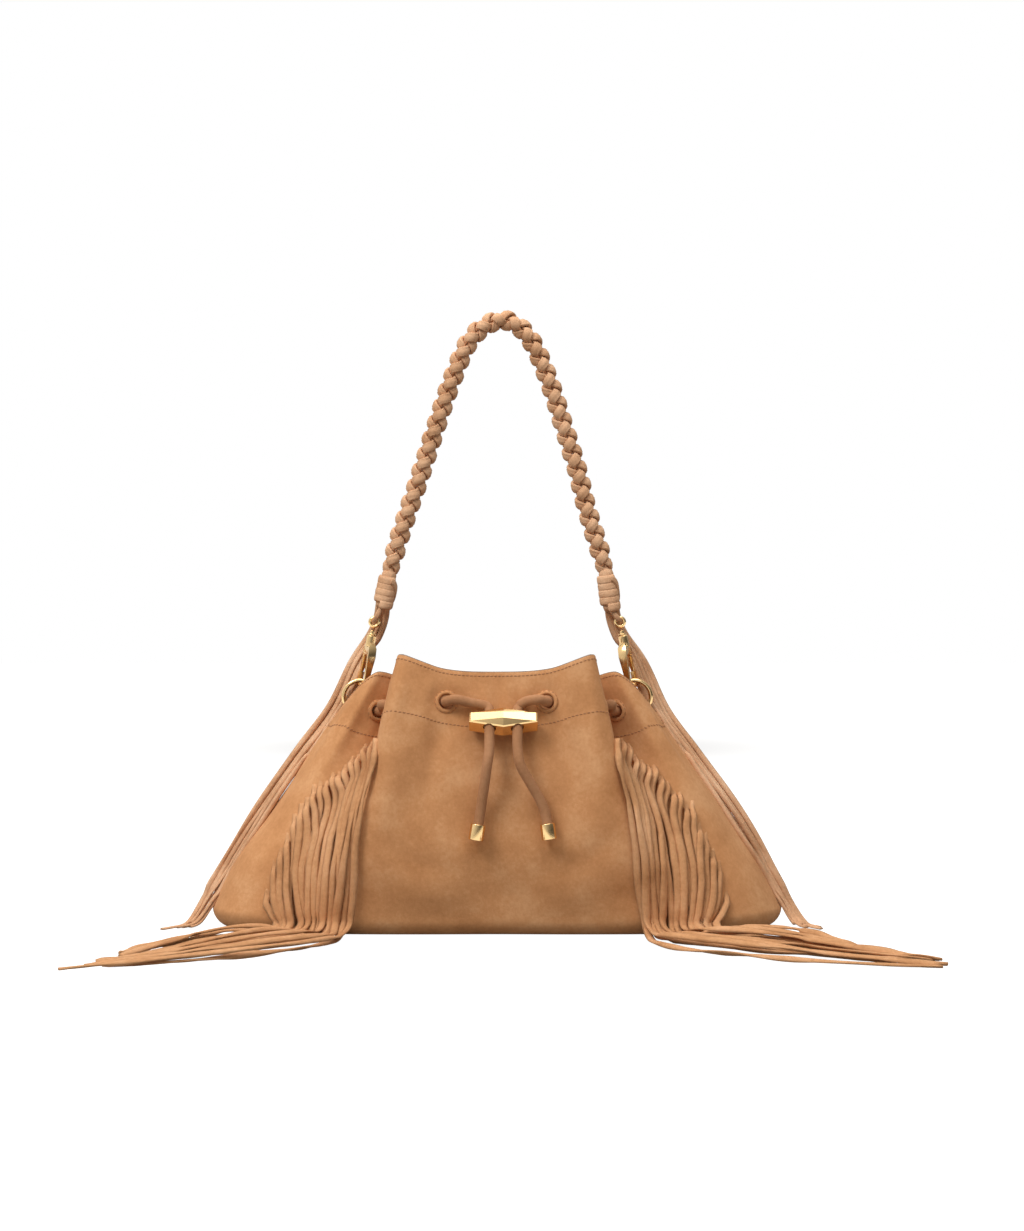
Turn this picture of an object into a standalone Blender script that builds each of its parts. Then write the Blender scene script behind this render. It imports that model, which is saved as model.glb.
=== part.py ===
# A fringed suede drawstring bag with a braided handle on two snap hooks.
# Metres, +Z up. The base stands on z = 0, the front faces -Y, the side seams lie at y = 0.
import math

import bmesh
import bpy
import numpy as np
from mathutils import Matrix, Vector
from mathutils.bvhtree import BVHTree

# Fits between pieces
FIT = 0.0003                 # gap between pieces that touch
SUEDE = 0.0024               # thickness of the body's suede
LACE = 0.0013                # thickness of a cut strand

# Body: stations from the front's middle to the side seam, each from the turned edge of the base
# up to the rim. The quarter is mirrored to the other side and to the back.
BASE_RADIUS = 0.012
FRONT = [(0.000, -0.066, BASE_RADIUS), (0.000, -0.072, 0.050), (0.000, -0.070, 0.095), (0.000, -0.065, 0.135),
         (0.000, -0.060, 0.171)]
MIDWAY = [(0.052, -0.067, BASE_RADIUS), (0.050, -0.073, 0.050), (0.044, -0.071, 0.095), (0.038, -0.065, 0.135),
          (0.034, -0.060, 0.173)]
FOLD = [(0.098, -0.066, BASE_RADIUS), (0.094, -0.071, 0.050), (0.080, -0.069, 0.095), (0.074, -0.064, 0.135),
        (0.064, -0.058, 0.182)]
VALLEY = [(0.126, -0.063, BASE_RADIUS), (0.112, -0.060, 0.048), (0.090, -0.046, 0.090), (0.071, -0.024, 0.130),
          (0.060, -0.014, 0.166)]
LOBE = [(0.170, -0.048, BASE_RADIUS), (0.152, -0.046, 0.048), (0.125, -0.040, 0.090), (0.101, -0.032, 0.132),
        (0.080, -0.025, 0.170)]
SEAM = [(0.192, 0.000, BASE_RADIUS), (0.176, 0.000, 0.043), (0.153, 0.000, 0.077), (0.131, 0.000, 0.109),
        (0.106, 0.000, 0.1445)]
COLUMNS = (3, 3, 4, 3, 2)    # columns between neighbouring stations, from the seam to the middle
ROWS = 10
BASE_COLUMNS = 32

# Drawstring and its holes
CORD_R = 0.0033
HOLE_R = 0.0050
EYELET_WIDTH = 0.0032
EYELET_RISE = 0.0013
EYELET_FRONT = (0.0325, 0.152)       # x and z of the holes beside the slide
EYELET_SIDE = (0.0790, 0.1445)       # x and z of the holes in the side lobes
EYELET_FOLD = (2.62, 0.84)           # station and height share of the holes inside the folds
TAIL_ROUTE = {1: [(0.0338, -0.0795, 0.0655), (0.0308, -0.0785, 0.0835), (0.0150, -0.0850, 0.1191),
                  (0.0135, -0.0814, 0.1316), (0.0135, -0.0768, 0.1375), (0.0135, -0.0722, 0.1435),
                  (0.0135, -0.0699, 0.1464), (0.0147, -0.0680, 0.1488)],
              -1: [(-0.0131, -0.0795, 0.0650), (-0.0101, -0.0785, 0.0830), (-0.0060, -0.0850, 0.1191),
                   (-0.0045, -0.0814, 0.1316), (-0.0045, -0.0768, 0.1375), (-0.0045, -0.0722, 0.1435),
                   (-0.0045, -0.0699, 0.1464), (-0.0057, -0.0680, 0.1488)]}
RIM_ROUTE = [(0.0175, -0.0687, 0.1518), (0.0265, -0.0702, 0.1538), (0.0325, -0.0647, 0.1523),
             (0.0335, -0.0578, 0.1513), (0.0404, -0.0508, 0.1499), (0.0624, -0.0491, 0.1470),
             (0.0691, -0.0466, 0.1484), (0.0748, -0.0453, 0.1497), (0.0757, -0.0279, 0.1449),
             (0.0795, -0.0226, 0.1445), (0.0827, -0.0164, 0.1447), (0.0740, 0.0000, 0.1440),
             (0.0827, 0.0164, 0.1447), (0.0795, 0.0226, 0.1445), (0.0757, 0.0279, 0.1449),
             (0.0748, 0.0453, 0.1497), (0.0691, 0.0466, 0.1484), (0.0624, 0.0491, 0.1470),
             (0.0404, 0.0508, 0.1499), (0.0335, 0.0578, 0.1513), (0.0325, 0.0647, 0.1523),
             (0.0265, 0.0702, 0.1538)]
CORD_POINTS = 78
CAP_R = 0.0048
CAP_LENGTH = 0.0102
CAP_WALL = 0.0008
CAP_BEVEL = 0.0005

# Slide
SLIDE_AT = (0.0045, -0.0745, 0.1405)
SLIDE_TILT = math.radians(38)
SLIDE_LENGTH = 0.044
SLIDE_HEIGHT = 0.0150
SLIDE_END_HEIGHT = 0.0070
SLIDE_DEPTH = 0.0130
SLIDE_RIDGE = 0.0030
SLIDE_HOLES = 0.0180         # between the two holes
SLIDE_BORE = CORD_R + 3 * FIT

# Rings and tabs
RING_AT = (0.0930, 0.0000, 0.1530)
RING_R = 0.0110
RING_WIRE = 0.0015
TAB_ANGLE = math.radians(-55)        # of the tab and of the side seam under it
TAB_WIDTH = 0.0046
TAB_THICK = 0.0012
TAB_LENGTH = 0.0105

# Snap hooks, in the hook's own plane with the ring's wire at the origin
HOOK_LEAN = math.radians(11)         # of the hook, and of its place on the ring
HOOK_TWIST = math.radians(64)
HOOK_INNER = 0.0043
HOOK_SEAT = 0.0012           # middle of the bow over the ring's wire
HOOK_STOCK = 0.0025
HOOK_THICK = 0.0032
HOOK_THROAT = 0.0180
HOOK_HEAD = 0.0267
NOSE_TOP = 0.0060
PIN_AT = (0.0042, 0.0205)
PIN_R = 0.0008
KNUCKLE_R = 0.0019
GATE_THICK = 0.0020
GATE_STOCK = 0.0022
BARREL_R = 0.0032
BARREL_TOP = 0.0312
STEM_R = 0.0015
COLLAR_R = 0.0028
EYE_WIRE = 0.0012
EYE_HALF_WIDTH = 0.0029
EYE_STRAIGHT = 0.0030
EYE_TOP = 0.0447

# Handle: middle line of the braid, x and z
BRAID_LINE = [(-0.0733, 0.2350), (-0.0665, 0.2600), (-0.0540, 0.2970), (-0.0420, 0.3340), (-0.0300, 0.3690),
              (-0.0180, 0.3950), (-0.0065, 0.4050), (0.0040, 0.4080), (0.0140, 0.4040), (0.0230, 0.3940),
              (0.0350, 0.3670), (0.0450, 0.3360), (0.0540, 0.3070), (0.0610, 0.2790), (0.0700, 0.2500),
              (0.0737, 0.2360)]
BRAID_TURN = 0.0228          # length in which a strand goes once round
BRAID_STEPS = 8              # sections in one turn
BRAID_R = 0.00365
BRAID_WEAVE = 0.00205
STRAND_WIDTH = 0.0046
STRAND_FACE = 0.0032         # width of a strand's crowned outer face
STRAND_THICK = 0.0016
PLUG_R = 0.0044
PLUG_LENGTH = 0.0080
GATHER = 0.0090              # length over which the strands close up to the whipping
WRAP_R = 0.0064
WRAP_TURNS = 4
WRAP_GROOVE = 0.0008
WRAP_FOOT = {-1: (-0.0780, 0.2130), 1: (0.0770, 0.2110)}
LOOP_WIRE = 0.0012
LOOP_SPREAD = 0.0034
LOOP_SHOULDER = 1.05         # of the spread, a third of the way down
LOOP_NECK = 0.85             # of the spread, just over the eye
LOOP_DROP = 0.0009           # of the loop's ends under the foot of the whipping

# Front fringes
FRINGE_STRANDS = 15
FRINGE_WIDTH = 0.0034
FRINGE_HEADER = 0.0050
# Tops of the slits
FRINGE_LINE = [(0.0830, 0.1220), (0.1010, 0.1050), (0.1250, 0.0790), (0.1410, 0.0500), (0.1510, 0.0230)]
FRINGE_LIFT = 0.0014         # of a strand's middle over the wall
FRINGE_INNER_FLOOR = [(0.0980, -0.0850), (0.1020, -0.1160), (0.1150, -0.1450), (0.1400, -0.1630),
                      (0.1900, -0.1810), (0.2500, -0.1950)]
FRINGE_OUTER_FLOOR = [(0.1600, -0.0640), (0.1625, -0.0755), (0.1690, -0.0890), (0.1800, -0.1010),
                      (0.1970, -0.1130), (0.2170, -0.1210)]
FRINGE_HANGING = 5           # sections of a hanging strand
FRINGE_LOW = 0.009           # height at which a strand leaves the wall for the floor

# Tassels
TASSEL_STRANDS = 5
TASSEL_WIDTH = 0.0022
TASSEL_PITCH = 0.0027
TASSEL_HEADER = 0.0032
TASSEL_GAP = 0.0008          # between the side seam and the nearest strand
TASSEL_TOP = [(0.0780, 0.0085, 0.2075), (0.0830, 0.0095, 0.1950), (0.0950, 0.0100, 0.1760)]
TASSEL_SHARES = (0.98, 0.78, 0.56, 0.34, 0.14)       # places down the side seam, as shares of its height
TASSEL_AHEAD = (0.0085, 0.0050, 0.0000, -0.0050, -0.0090)
TASSEL_FLOOR = [(0.2005, -0.0150, 0.0060), (0.2040, -0.0230, 0.0013), (0.2100, -0.0340, 0.0013),
                (0.2170, -0.0450, 0.0013)]
TASSEL_SECTIONS = 13

SIDES = {"left": -1, "right": 1}


def clear_scene():
    for thing in list(bpy.data.objects):
        bpy.data.objects.remove(thing, do_unlink=True)


def material(name, color, roughness, metallic=0.0):
    made = bpy.data.materials.new(name)
    made.use_nodes = True
    shader = made.node_tree.nodes["Principled BSDF"]
    shader.inputs["Base Color"].default_value = (*color, 1.0)
    shader.inputs["Roughness"].default_value = roughness
    shader.inputs["Metallic"].default_value = metallic
    return made


def suede(name):
    return material(name + "_suede", (0.52, 0.28, 0.13), 0.95)


def gold(name):
    return material(name + "_gold", (0.78, 0.48, 0.12), 0.22, 1.0)


def add_object(name, vertices, faces, finish, smooth=True):
    mesh = bpy.data.meshes.new(name)
    mesh.from_pydata([tuple(v) for v in vertices], [], [tuple(f) for f in faces])
    shape = bmesh.new()
    shape.from_mesh(mesh)
    bmesh.ops.recalc_face_normals(shape, faces=shape.faces)
    if shape.calc_volume(signed=True) < 0:
        bmesh.ops.reverse_faces(shape, faces=shape.faces)
    shape.to_mesh(mesh)
    shape.free()
    if smooth:
        mesh.shade_smooth()
        mesh.set_sharp_from_angle(angle=math.radians(40))
    thing = bpy.data.objects.new(name, mesh)
    bpy.context.scene.collection.objects.link(thing)
    mesh.materials.append(finish)
    return thing


def combine(thing, tool, operation, crossing=False):
    """Cuts or joins thing with tool, which stays as a guide. A crossing thing runs through itself."""
    tool.hide_render = True
    tool.display_type = "WIRE"
    step = thing.modifiers.new(tool.name, "BOOLEAN")
    step.operation = operation
    step.object = tool
    step.solver = "EXACT"
    step.use_self = crossing


# Curves through chosen points

def on_curve(points, knots, where):
    """Points at the given knot values on the smooth curve through the points."""
    points = np.asarray(points, float)
    chord = np.diff(knots).reshape(-1, *[1] * (points.ndim - 1))
    slope = np.diff(points, axis=0) / chord
    tangent = np.concatenate((slope[:1], slope[:-1] * chord[1:] + slope[1:] * chord[:-1], slope[-1:]))
    tangent[1:-1] /= chord[1:] + chord[:-1]
    found = []
    for value in where:
        i = int(np.clip(np.searchsorted(knots, value, side="right") - 1, 0, len(knots) - 2))
        step = knots[i + 1] - knots[i]
        u = (value - knots[i]) / step
        found.append((2 * u**3 - 3 * u**2 + 1) * points[i] + (u**3 - 2 * u**2 + u) * step * tangent[i]
                     + (3 * u**2 - 2 * u**3) * points[i + 1] + (u**3 - u**2) * step * tangent[i + 1])
    return np.array(found)


def smooth_path(points, count):
    """Evenly spaced points on a smooth curve through the route's points."""
    points = np.asarray(points, float)
    knots = np.concatenate(([0], np.cumsum(np.sqrt(np.linalg.norm(np.diff(points, axis=0), axis=1)))))
    fine = on_curve(points, knots, np.linspace(0, knots[-1], 16 * len(points)))
    length = np.concatenate(([0], np.cumsum(np.linalg.norm(np.diff(fine, axis=0), axis=1))))
    spots = np.linspace(0, length[-1], count)
    return np.stack([np.interp(spots, length, fine[:, k]) for k in range(3)], axis=1)


def directions(path, closed=False):
    if closed:
        along = np.roll(path, -1, axis=0) - np.roll(path, 1, axis=0)
    else:
        along = np.gradient(path, axis=0)
    return along / np.linalg.norm(along, axis=1)[:, None]


def sweep(path, wide, thick, section, closed=False):
    """Vertices and faces of a bar: section's (w, t) pairs laid along wide and thick at each point."""
    count = len(section)
    vertices = [p + w * a + t * b for p, a, b in zip(path, wide, thick) for w, t in section]
    rings = len(path)
    faces = []
    for i in range(rings if closed else rings - 1):
        here, there = i * count, (i + 1) % rings * count
        faces += [(here + k, here + (k + 1) % count, there + (k + 1) % count, there + k)
                  for k in range(count)]
    if not closed:
        faces += [tuple(range(count)), tuple((rings - 1) * count + k for k in range(count))]
    return vertices, faces


def round_section(radius, sides):
    angles = [2 * math.pi * k / sides for k in range(sides)]
    return [(radius * math.cos(angle), radius * math.sin(angle)) for angle in angles]


def flat_ring(name, centre, across, upward, width, rise, wire, finish, turns=7):
    """A closed ring of round wire: two half circles of the given width joined by straights."""
    path = []
    for half in (1, -1):
        for k in range(turns + 1):
            angle = math.pi * k / turns
            sideways, high = width * math.cos(angle), rise / 2 + width * math.sin(angle)
            path.append(centre + half * (sideways * across + high * upward))
    if rise == 0:
        del path[turns]
        path.pop()
    path = np.array(path)
    face = np.cross(across, upward)
    along = directions(path, closed=True)
    out = np.cross(along, face)
    bar = sweep(path, out, [face] * len(path), round_section(wire, 6), closed=True)
    return add_object(name, *bar, finish)


def turned(name, profile, sides, place, finish, hollow=False):
    """A turned piece: profile's (r, z) pairs spun about Z, then placed; hollow ones close it."""
    vertices = []
    faces = []
    for r, z in profile:
        vertices += [(x, y, z) for x, y in round_section(r, sides)]
    rings = len(profile)
    for i in range(rings if hollow else rings - 1):
        here, there = i * sides, (i + 1) % rings * sides
        faces += [(here + k, here + (k + 1) % sides, there + (k + 1) % sides, there + k)
                  for k in range(sides)]
    if not hollow:
        faces += [tuple(range(sides)), tuple((rings - 1) * sides + k for k in range(sides))]
    thing = add_object(name, vertices, faces, finish)
    thing.data.transform(place)
    return thing


def frame_at(origin, right, up):
    """The placing of a piece whose X and Z axes point right and up."""
    up = Vector(up).normalized()
    right = (Vector(right) - Vector(right).dot(up) * up).normalized()
    turn = Matrix((right, up.cross(right), up)).transposed().to_4x4()
    return Matrix.Translation(Vector(origin)) @ turn


# Body

def wall_stations():
    """The wall's stations all the way round, from the right seam along the front, and their knots."""
    quarter = np.array([SEAM, LOBE, VALLEY, FOLD, MIDWAY, FRONT])
    front = np.concatenate((quarter, quarter[-2::-1] * (-1, 1, 1)))
    loop = np.concatenate((front, front[-2::-1] * (1, -1, 1)))
    chord = np.linalg.norm(np.diff(loop, axis=0), axis=2).mean(axis=1)
    return loop, np.concatenate(([0], np.cumsum(chord)))


def wall_points(where, heights):
    """The wall's outer points: a row for each height share from 0 to 1, a column for each knot value."""
    loop, knots = wall_stations()
    levels = np.linspace(0, 1, loop.shape[1])
    rows = on_curve(loop.transpose(1, 0, 2), levels, heights)
    total = knots[-1]
    padded = np.concatenate((knots[-3:-1] - total, knots, knots[1:3] + total))
    grid = [on_curve(np.concatenate((row[-3:-1], row, row[1:3])), padded, where) for row in rows]
    return np.array(grid)


def station_knot(station):
    """Knot value of a station number counted from the right seam, 5 at the front's middle."""
    knots = wall_stations()[1]
    return float(np.interp(station, range(len(knots)), knots))


def wall_columns():
    """Station numbers of the columns from the right seam to the left one."""
    half = [i + k / count for i, count in enumerate(COLUMNS) for k in range(count)]
    return half + [5] + [10 - s for s in reversed(half)]


def wall_normals(where, heights):
    step = 0.0004
    lower, upper = np.clip(np.array(heights) - 0.004, 0, 1), np.clip(np.array(heights) + 0.004, 0, 1)
    up = wall_points(where, upper) - wall_points(where, lower)
    around = wall_points(np.array(where) + step, heights) - wall_points(np.array(where) - step, heights)
    out = np.cross(up, around)
    out /= np.linalg.norm(out, axis=2)[:, :, None]
    return out


def wall_sheet():
    """Outer and inner points of the front panel, from the right seam to the left one and the rim down."""
    where = [station_knot(s) for s in wall_columns()]
    heights = np.linspace(1, 0, ROWS)
    outer = wall_points(where, heights)
    normal = wall_normals(where, heights)
    normal[0, :, 2] = 0
    normal[0] /= np.linalg.norm(normal[0], axis=1)[:, None]
    normal[-1, :, 2] = 0
    normal[-1] /= np.linalg.norm(normal[-1], axis=1)[:, None]
    inner = outer - SUEDE * normal
    for sheet in (outer, inner):
        sheet[:, (0, -1), 1] = -FIT / 2
    return outer, inner


def split_grid(rows, columns, shift=0):
    """Triangles of a grid, split towards the middle column from both sides."""
    faces = []
    for r in range(rows - 1):
        for c in range(columns - 1):
            a = shift + r * columns + c
            b, low_a, low_b = a + 1, a + columns, a + columns + 1
            if 2 * c < columns - 1:
                faces += [(a, b, low_b), (a, low_b, low_a)]
            else:
                faces += [(a, b, low_a), (b, low_b, low_a)]
    return faces


def panel(name, outer, inner, flip):
    """One panel of the body as a closed sheet; the back one is the front one mirrored."""
    rows, columns = outer.shape[:2]
    vertices = np.concatenate((outer.reshape(-1, 3), inner.reshape(-1, 3))) * (1, flip, 1)
    shift = rows * columns
    faces = split_grid(rows, columns) + split_grid(rows, columns, shift)
    top, bottom = range(columns), range(shift - columns, shift)
    right, left = range(0, shift, columns), range(columns - 1, shift, columns)
    for edge in (top, bottom, right, left):
        faces += [(a, b, b + shift, a + shift) for a, b in zip(edge, edge[1:])]
    return add_object(name, vertices, faces, suede(name))


def base_panel():
    """The base: a flat floor turned up round its edge, which meets the walls."""
    knots = wall_stations()[1]
    where = np.linspace(0, knots[-1], BASE_COLUMNS, endpoint=False)
    edge = wall_points(where, [0])[0]
    out = wall_normals(where, [0])[0]
    out[:, 2] = 0
    out /= np.linalg.norm(out, axis=1)[:, None]
    loops = []
    for radius in (BASE_RADIUS, BASE_RADIUS - SUEDE):
        for degrees in (2, 30, 60, 90):
            angle = math.radians(degrees)
            loop = edge - out * (BASE_RADIUS - radius * math.cos(angle))
            loop[:, 2] = BASE_RADIUS - radius * math.sin(angle)
            loops.append(loop)
    for loop in (loops[0], loops[4]):
        loop[:, 2] = BASE_RADIUS - FIT
    order = loops[3::-1] + loops[4:]
    vertices = np.concatenate(order)
    count = BASE_COLUMNS
    faces = []
    for here in range(0, (len(order) - 1) * count, count):
        there = here + count
        faces += [(here + k, here + (k + 1) % count, there + (k + 1) % count, there + k)
                  for k in range(count)]
    faces += [tuple(range(count)), tuple(range((len(order) - 1) * count, len(order) * count))]
    return add_object("base_panel", vertices, faces, suede("base_panel"))


class Wall:
    """The front panel's outer facets, for laying other pieces on them."""

    def __init__(self, outer):
        points = [Vector(v) for v in outer.reshape(-1, 3)]
        self.tree = BVHTree.FromPolygons(points, split_grid(*outer.shape[:2]))

    def from_front(self, x, z):
        """The point of the wall seen from the front at x and z, and its outward normal."""
        point, normal = self.tree.ray_cast(Vector((x, -1, z)), Vector((0, 1, 0)))[:2]
        if normal.y > 0:
            normal = -normal
        return point, normal

    def under(self, point, normal):
        """The wall's point straight under a point that floats over it."""
        found = self.tree.ray_cast(point + 0.006 * normal, -normal, 0.03)[0]
        return found if found else point


def eyelet_spots(wall):
    """Place and outward normal of the three holes in the right half of the front."""
    where, height = station_knot(EYELET_FOLD[0]), EYELET_FOLD[1]
    fold = Vector(wall_points([where], [height])[0, 0])
    fold_normal = Vector(wall_normals([where], [height])[0, 0])
    front, side = wall.from_front(*EYELET_FRONT), wall.from_front(*EYELET_SIDE)
    return {"front": front, "fold": (fold, fold_normal), "side": side}


def eyelet_hole(name, spot, normal, panel_piece):
    place = frame_at(spot, (0, 0, 1), normal)
    length = 0.0055
    tool = turned(name, [(HOLE_R, -length), (HOLE_R, length)], 12, place, suede(name))
    combine(panel_piece, tool, "DIFFERENCE")


def eyelet(name, spot, normal, wall, mirror):
    """A sewn ring of suede round a hole, lying on the wall."""
    place = frame_at(spot, (0, 0, 1), normal)
    vertices = []
    segments = 12
    widths = ((HOLE_R, 0), (HOLE_R + 0.4 * EYELET_WIDTH, EYELET_RISE), (HOLE_R + EYELET_WIDTH, 0))
    for k in range(segments):
        angle = 2 * math.pi * k / segments
        for radius, rise in widths:
            over = place @ Vector((radius * math.cos(angle), radius * math.sin(angle), 0))
            under = wall.under(over, normal)
            vertices.append(under + (FIT + rise) * normal)
    faces = [(3 * k + j, 3 * k + (j + 1) % 3, (3 * k + 3 + (j + 1) % 3) % 36, (3 * k + 3 + j) % 36)
             for k in range(segments) for j in range(3)]
    vertices = [(v.x * mirror[0], v.y * mirror[1], v.z) for v in vertices]
    return add_object(name, vertices, faces, suede(name))


def body():
    outer, inner = wall_sheet()
    wall = Wall(outer)
    front = panel("front_panel", outer, inner, 1)
    back = panel("back_panel", outer, inner, -1)
    base_panel()
    spots = eyelet_spots(wall)
    for face, piece, flip in (("front", front, 1), ("back", back, -1)):
        for side, sign in SIDES.items():
            for kind, (spot, normal) in spots.items():
                mirror = Vector((sign, flip, 1))
                name = f"eyelet_{face}_{side}_{kind}"
                eyelet_hole(name + "_hole", spot * mirror, normal * mirror, piece)
                eyelet(name, spot, normal, wall, mirror)
    return wall


# Drawstring, caps and slide

def slide_axes():
    """The slide's middle and its upward axis."""
    return np.array(SLIDE_AT), np.array((0, math.sin(SLIDE_TILT), math.cos(SLIDE_TILT)))


def cord_half(sign):
    """Route points of one half of the cord, from the tail's end to the middle of the back."""
    return TAIL_ROUTE[sign] + [(sign * x, y, z) for x, y, z in RIM_ROUTE]


def drawstring():
    path = smooth_path(cord_half(1) + cord_half(-1)[::-1], CORD_POINTS)
    curve = bpy.data.curves.new("drawstring", "CURVE")
    curve.dimensions = "3D"
    curve.bevel_depth = CORD_R
    curve.bevel_resolution = 2
    curve.use_fill_caps = True
    line = curve.splines.new("POLY")
    line.points.add(len(path) - 1)
    for point, place in zip(line.points, path):
        point.co = (*place, 1)
    curve.materials.append(suede("drawstring"))
    thing = bpy.data.objects.new("drawstring", curve)
    bpy.context.scene.collection.objects.link(thing)
    return path


def end_caps(path):
    """A turned cup over each end of the cord."""
    bore = CORD_R + FIT
    depth = CAP_LENGTH - CAP_WALL
    cup = [(bore, 0.0), (bore, depth), (CAP_R - CAP_BEVEL, depth), (CAP_R, depth - CAP_BEVEL),
           (CAP_R, CAP_BEVEL - CAP_WALL), (CAP_R - CAP_BEVEL, -CAP_WALL)]
    for side, end, inward in (("right", path[0], path[1]), ("left", path[-1], path[-2])):
        up = Vector(inward - end).normalized()
        place = frame_at(Vector(end) - FIT * up, (1, 0, 0), up)
        turned(f"end_cap_{side}", cup, 12, place, gold(f"end_cap_{side}"))


def cord_slide():
    """A lozenge block with a ridged front and two cross holes for the cord."""
    half_l, half_h, half_e = SLIDE_LENGTH / 2, SLIDE_HEIGHT / 2, SLIDE_END_HEIGHT / 2
    back, step = -SLIDE_DEPTH / 2, SLIDE_DEPTH / 2 - SLIDE_RIDGE
    outline = [(-half_l, -half_e), (0, -half_h), (half_l, -half_e),
               (half_l, half_e), (0, half_h), (-half_l, half_e)]
    rim = [(x * 0.955, z * 0.90) for x, z in outline]
    vertices = [(x, -back, z) for x, z in outline] + [(x, -step, z) for x, z in outline]
    vertices += [(x, -step - 0.0008, z) for x, z in rim]
    vertices += [(0, -SLIDE_DEPTH / 2, -half_h * 0.30), (0, -SLIDE_DEPTH / 2, half_h * 0.30)]
    faces = [tuple(range(6))]
    faces += [(i, (i + 1) % 6, 6 + (i + 1) % 6, 6 + i) for i in range(6)]
    faces += [(6 + i, 6 + (i + 1) % 6, 12 + (i + 1) % 6, 12 + i) for i in range(6)]
    faces += [(12, 13, 18), (13, 14, 18), (14, 15, 19, 18), (15, 16, 19), (16, 17, 19), (17, 12, 18, 19)]
    slide = add_object("cord_slide", vertices, faces, gold("cord_slide"), smooth=False)
    middle, up = slide_axes()
    slide.matrix_world = frame_at(middle, (1, 0, 0), up)
    bpy.context.view_layer.update()
    for sign in (-1, 1):
        place = frame_at(middle + (sign * SLIDE_HOLES / 2, 0, 0), (1, 0, 0), up)
        bore = [(SLIDE_BORE, -SLIDE_HEIGHT), (SLIDE_BORE, SLIDE_HEIGHT)]
        tool = turned(f"slide_hole_{sign}", bore, 14, place, gold("slide_hole"))
        combine(slide, tool, "DIFFERENCE")


# Rings, tabs and snap hooks

def ring_and_tab(side, sign):
    centre = np.array(RING_AT) * (sign, 1, 1)
    across, upward = np.array((1.0, 0, 0)), np.array((0, 0, 1.0))
    finish = gold(f"ring_{side}")
    ring = flat_ring(f"ring_{side}", centre * 0, across, upward, RING_R, 0, RING_WIRE, finish, 11)
    ring.location = centre
    down = np.array((sign * math.cos(TAB_ANGLE), 0, math.sin(TAB_ANGLE)))
    held = centre + RING_R * down
    front = np.array((0, 1.0, 0))
    widthways = np.cross(front, down)
    inner = RING_WIRE + FIT + TAB_WIDTH**2 / (8 * RING_R)
    outer = inner + TAB_THICK
    half_turn = np.linspace(0, math.pi, 7)
    inside = [(inner * math.cos(a), inner * math.sin(a)) for a in half_turn]
    outside = [(outer * math.cos(a), outer * math.sin(a)) for a in half_turn[::-1]]
    shape = [(inner, -TAB_LENGTH)] + inside + [(-inner, -TAB_LENGTH)]
    shape += [(-outer, -TAB_LENGTH)] + outside + [(outer, -TAB_LENGTH)]
    vertices = [held + y * front - z * down + half * TAB_WIDTH / 2 * widthways
                for half in (-1, 1) for y, z in shape]
    count = len(shape)
    faces = [(k, (k + 1) % count, count + (k + 1) % count, count + k) for k in range(count)]
    faces += [tuple(range(count)), tuple(range(count, 2 * count))]
    add_object(f"ring_tab_{side}", vertices, faces, suede(f"ring_tab_{side}"))


def hook_axes(sign):
    """The ring wire's middle in the hook, the hook's upward axis and the direction from spine to gate."""
    held = np.array(RING_AT) + RING_R * np.array((-math.sin(HOOK_LEAN), 0, math.cos(HOOK_LEAN)))
    up = np.array((-math.sin(HOOK_LEAN), 0, math.cos(HOOK_LEAN)))
    level = np.array((math.cos(HOOK_LEAN), 0, math.sin(HOOK_LEAN)))
    gate = math.cos(HOOK_TWIST) * level + math.sin(HOOK_TWIST) * np.array((0, 1.0, 0))
    mirror = np.array((sign, 1, 1))
    return held * mirror, up * mirror, gate * mirror


def plate(name, outline, thick, sign, finish, pivot=(0.0, 0.0)):
    """An outline in the hook's plane made thick, with its origin at the pivot."""
    held, up, gate = hook_axes(sign)
    side = np.cross(up, gate)
    vertices = [(x - pivot[0]) * gate + (z - pivot[1]) * up + half * thick / 2 * side
                for half in (-1, 1) for x, z in outline]
    count = len(outline)
    faces = [(k, (k + 1) % count, count + (k + 1) % count, count + k) for k in range(count)]
    faces += [tuple(range(count)), tuple(range(count, 2 * count))]
    thing = add_object(name, vertices, faces, finish)
    thing.location = held + pivot[0] * gate + pivot[1] * up
    bpy.context.view_layer.update()
    return thing


def arc(centre, radius, start, stop, count):
    """Points on an arc, angles in degrees from +X towards +Z."""
    return [(centre[0] + radius * math.cos(math.radians(a)), centre[1] + radius * math.sin(math.radians(a)))
            for a in np.linspace(start, stop, count)]


def hook_outline():
    """The hook's outline: nose, inside of the bow, throat, head and the outside of the spine and bow."""
    outer = HOOK_INNER + HOOK_STOCK
    bow = (0.0, HOOK_SEAT)
    nose = [(outer, NOSE_TOP), (HOOK_INNER, NOSE_TOP)]
    throat = [(-HOOK_INNER, HOOK_THROAT - 0.0030), (-HOOK_INNER + 0.0014, HOOK_THROAT),
              (HOOK_INNER - 0.0018, HOOK_THROAT)]
    head = [(PIN_AT[0] + 0.0008, HOOK_THROAT + 0.0003), (outer, PIN_AT[1]),
            (outer - 0.0009, HOOK_THROAT + 0.0055), (BARREL_R, HOOK_HEAD), (-BARREL_R, HOOK_HEAD),
            (-outer + 0.0013, HOOK_THROAT + 0.0050), (-outer, HOOK_THROAT - 0.0010)]
    return nose + arc(bow, HOOK_INNER, 0, -180, 9) + throat + head + arc(bow, outer, -180, 0, 11)


def along_hook(sign, x, z):
    held, up, gate = hook_axes(sign)
    return held + x * gate + z * up


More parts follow.
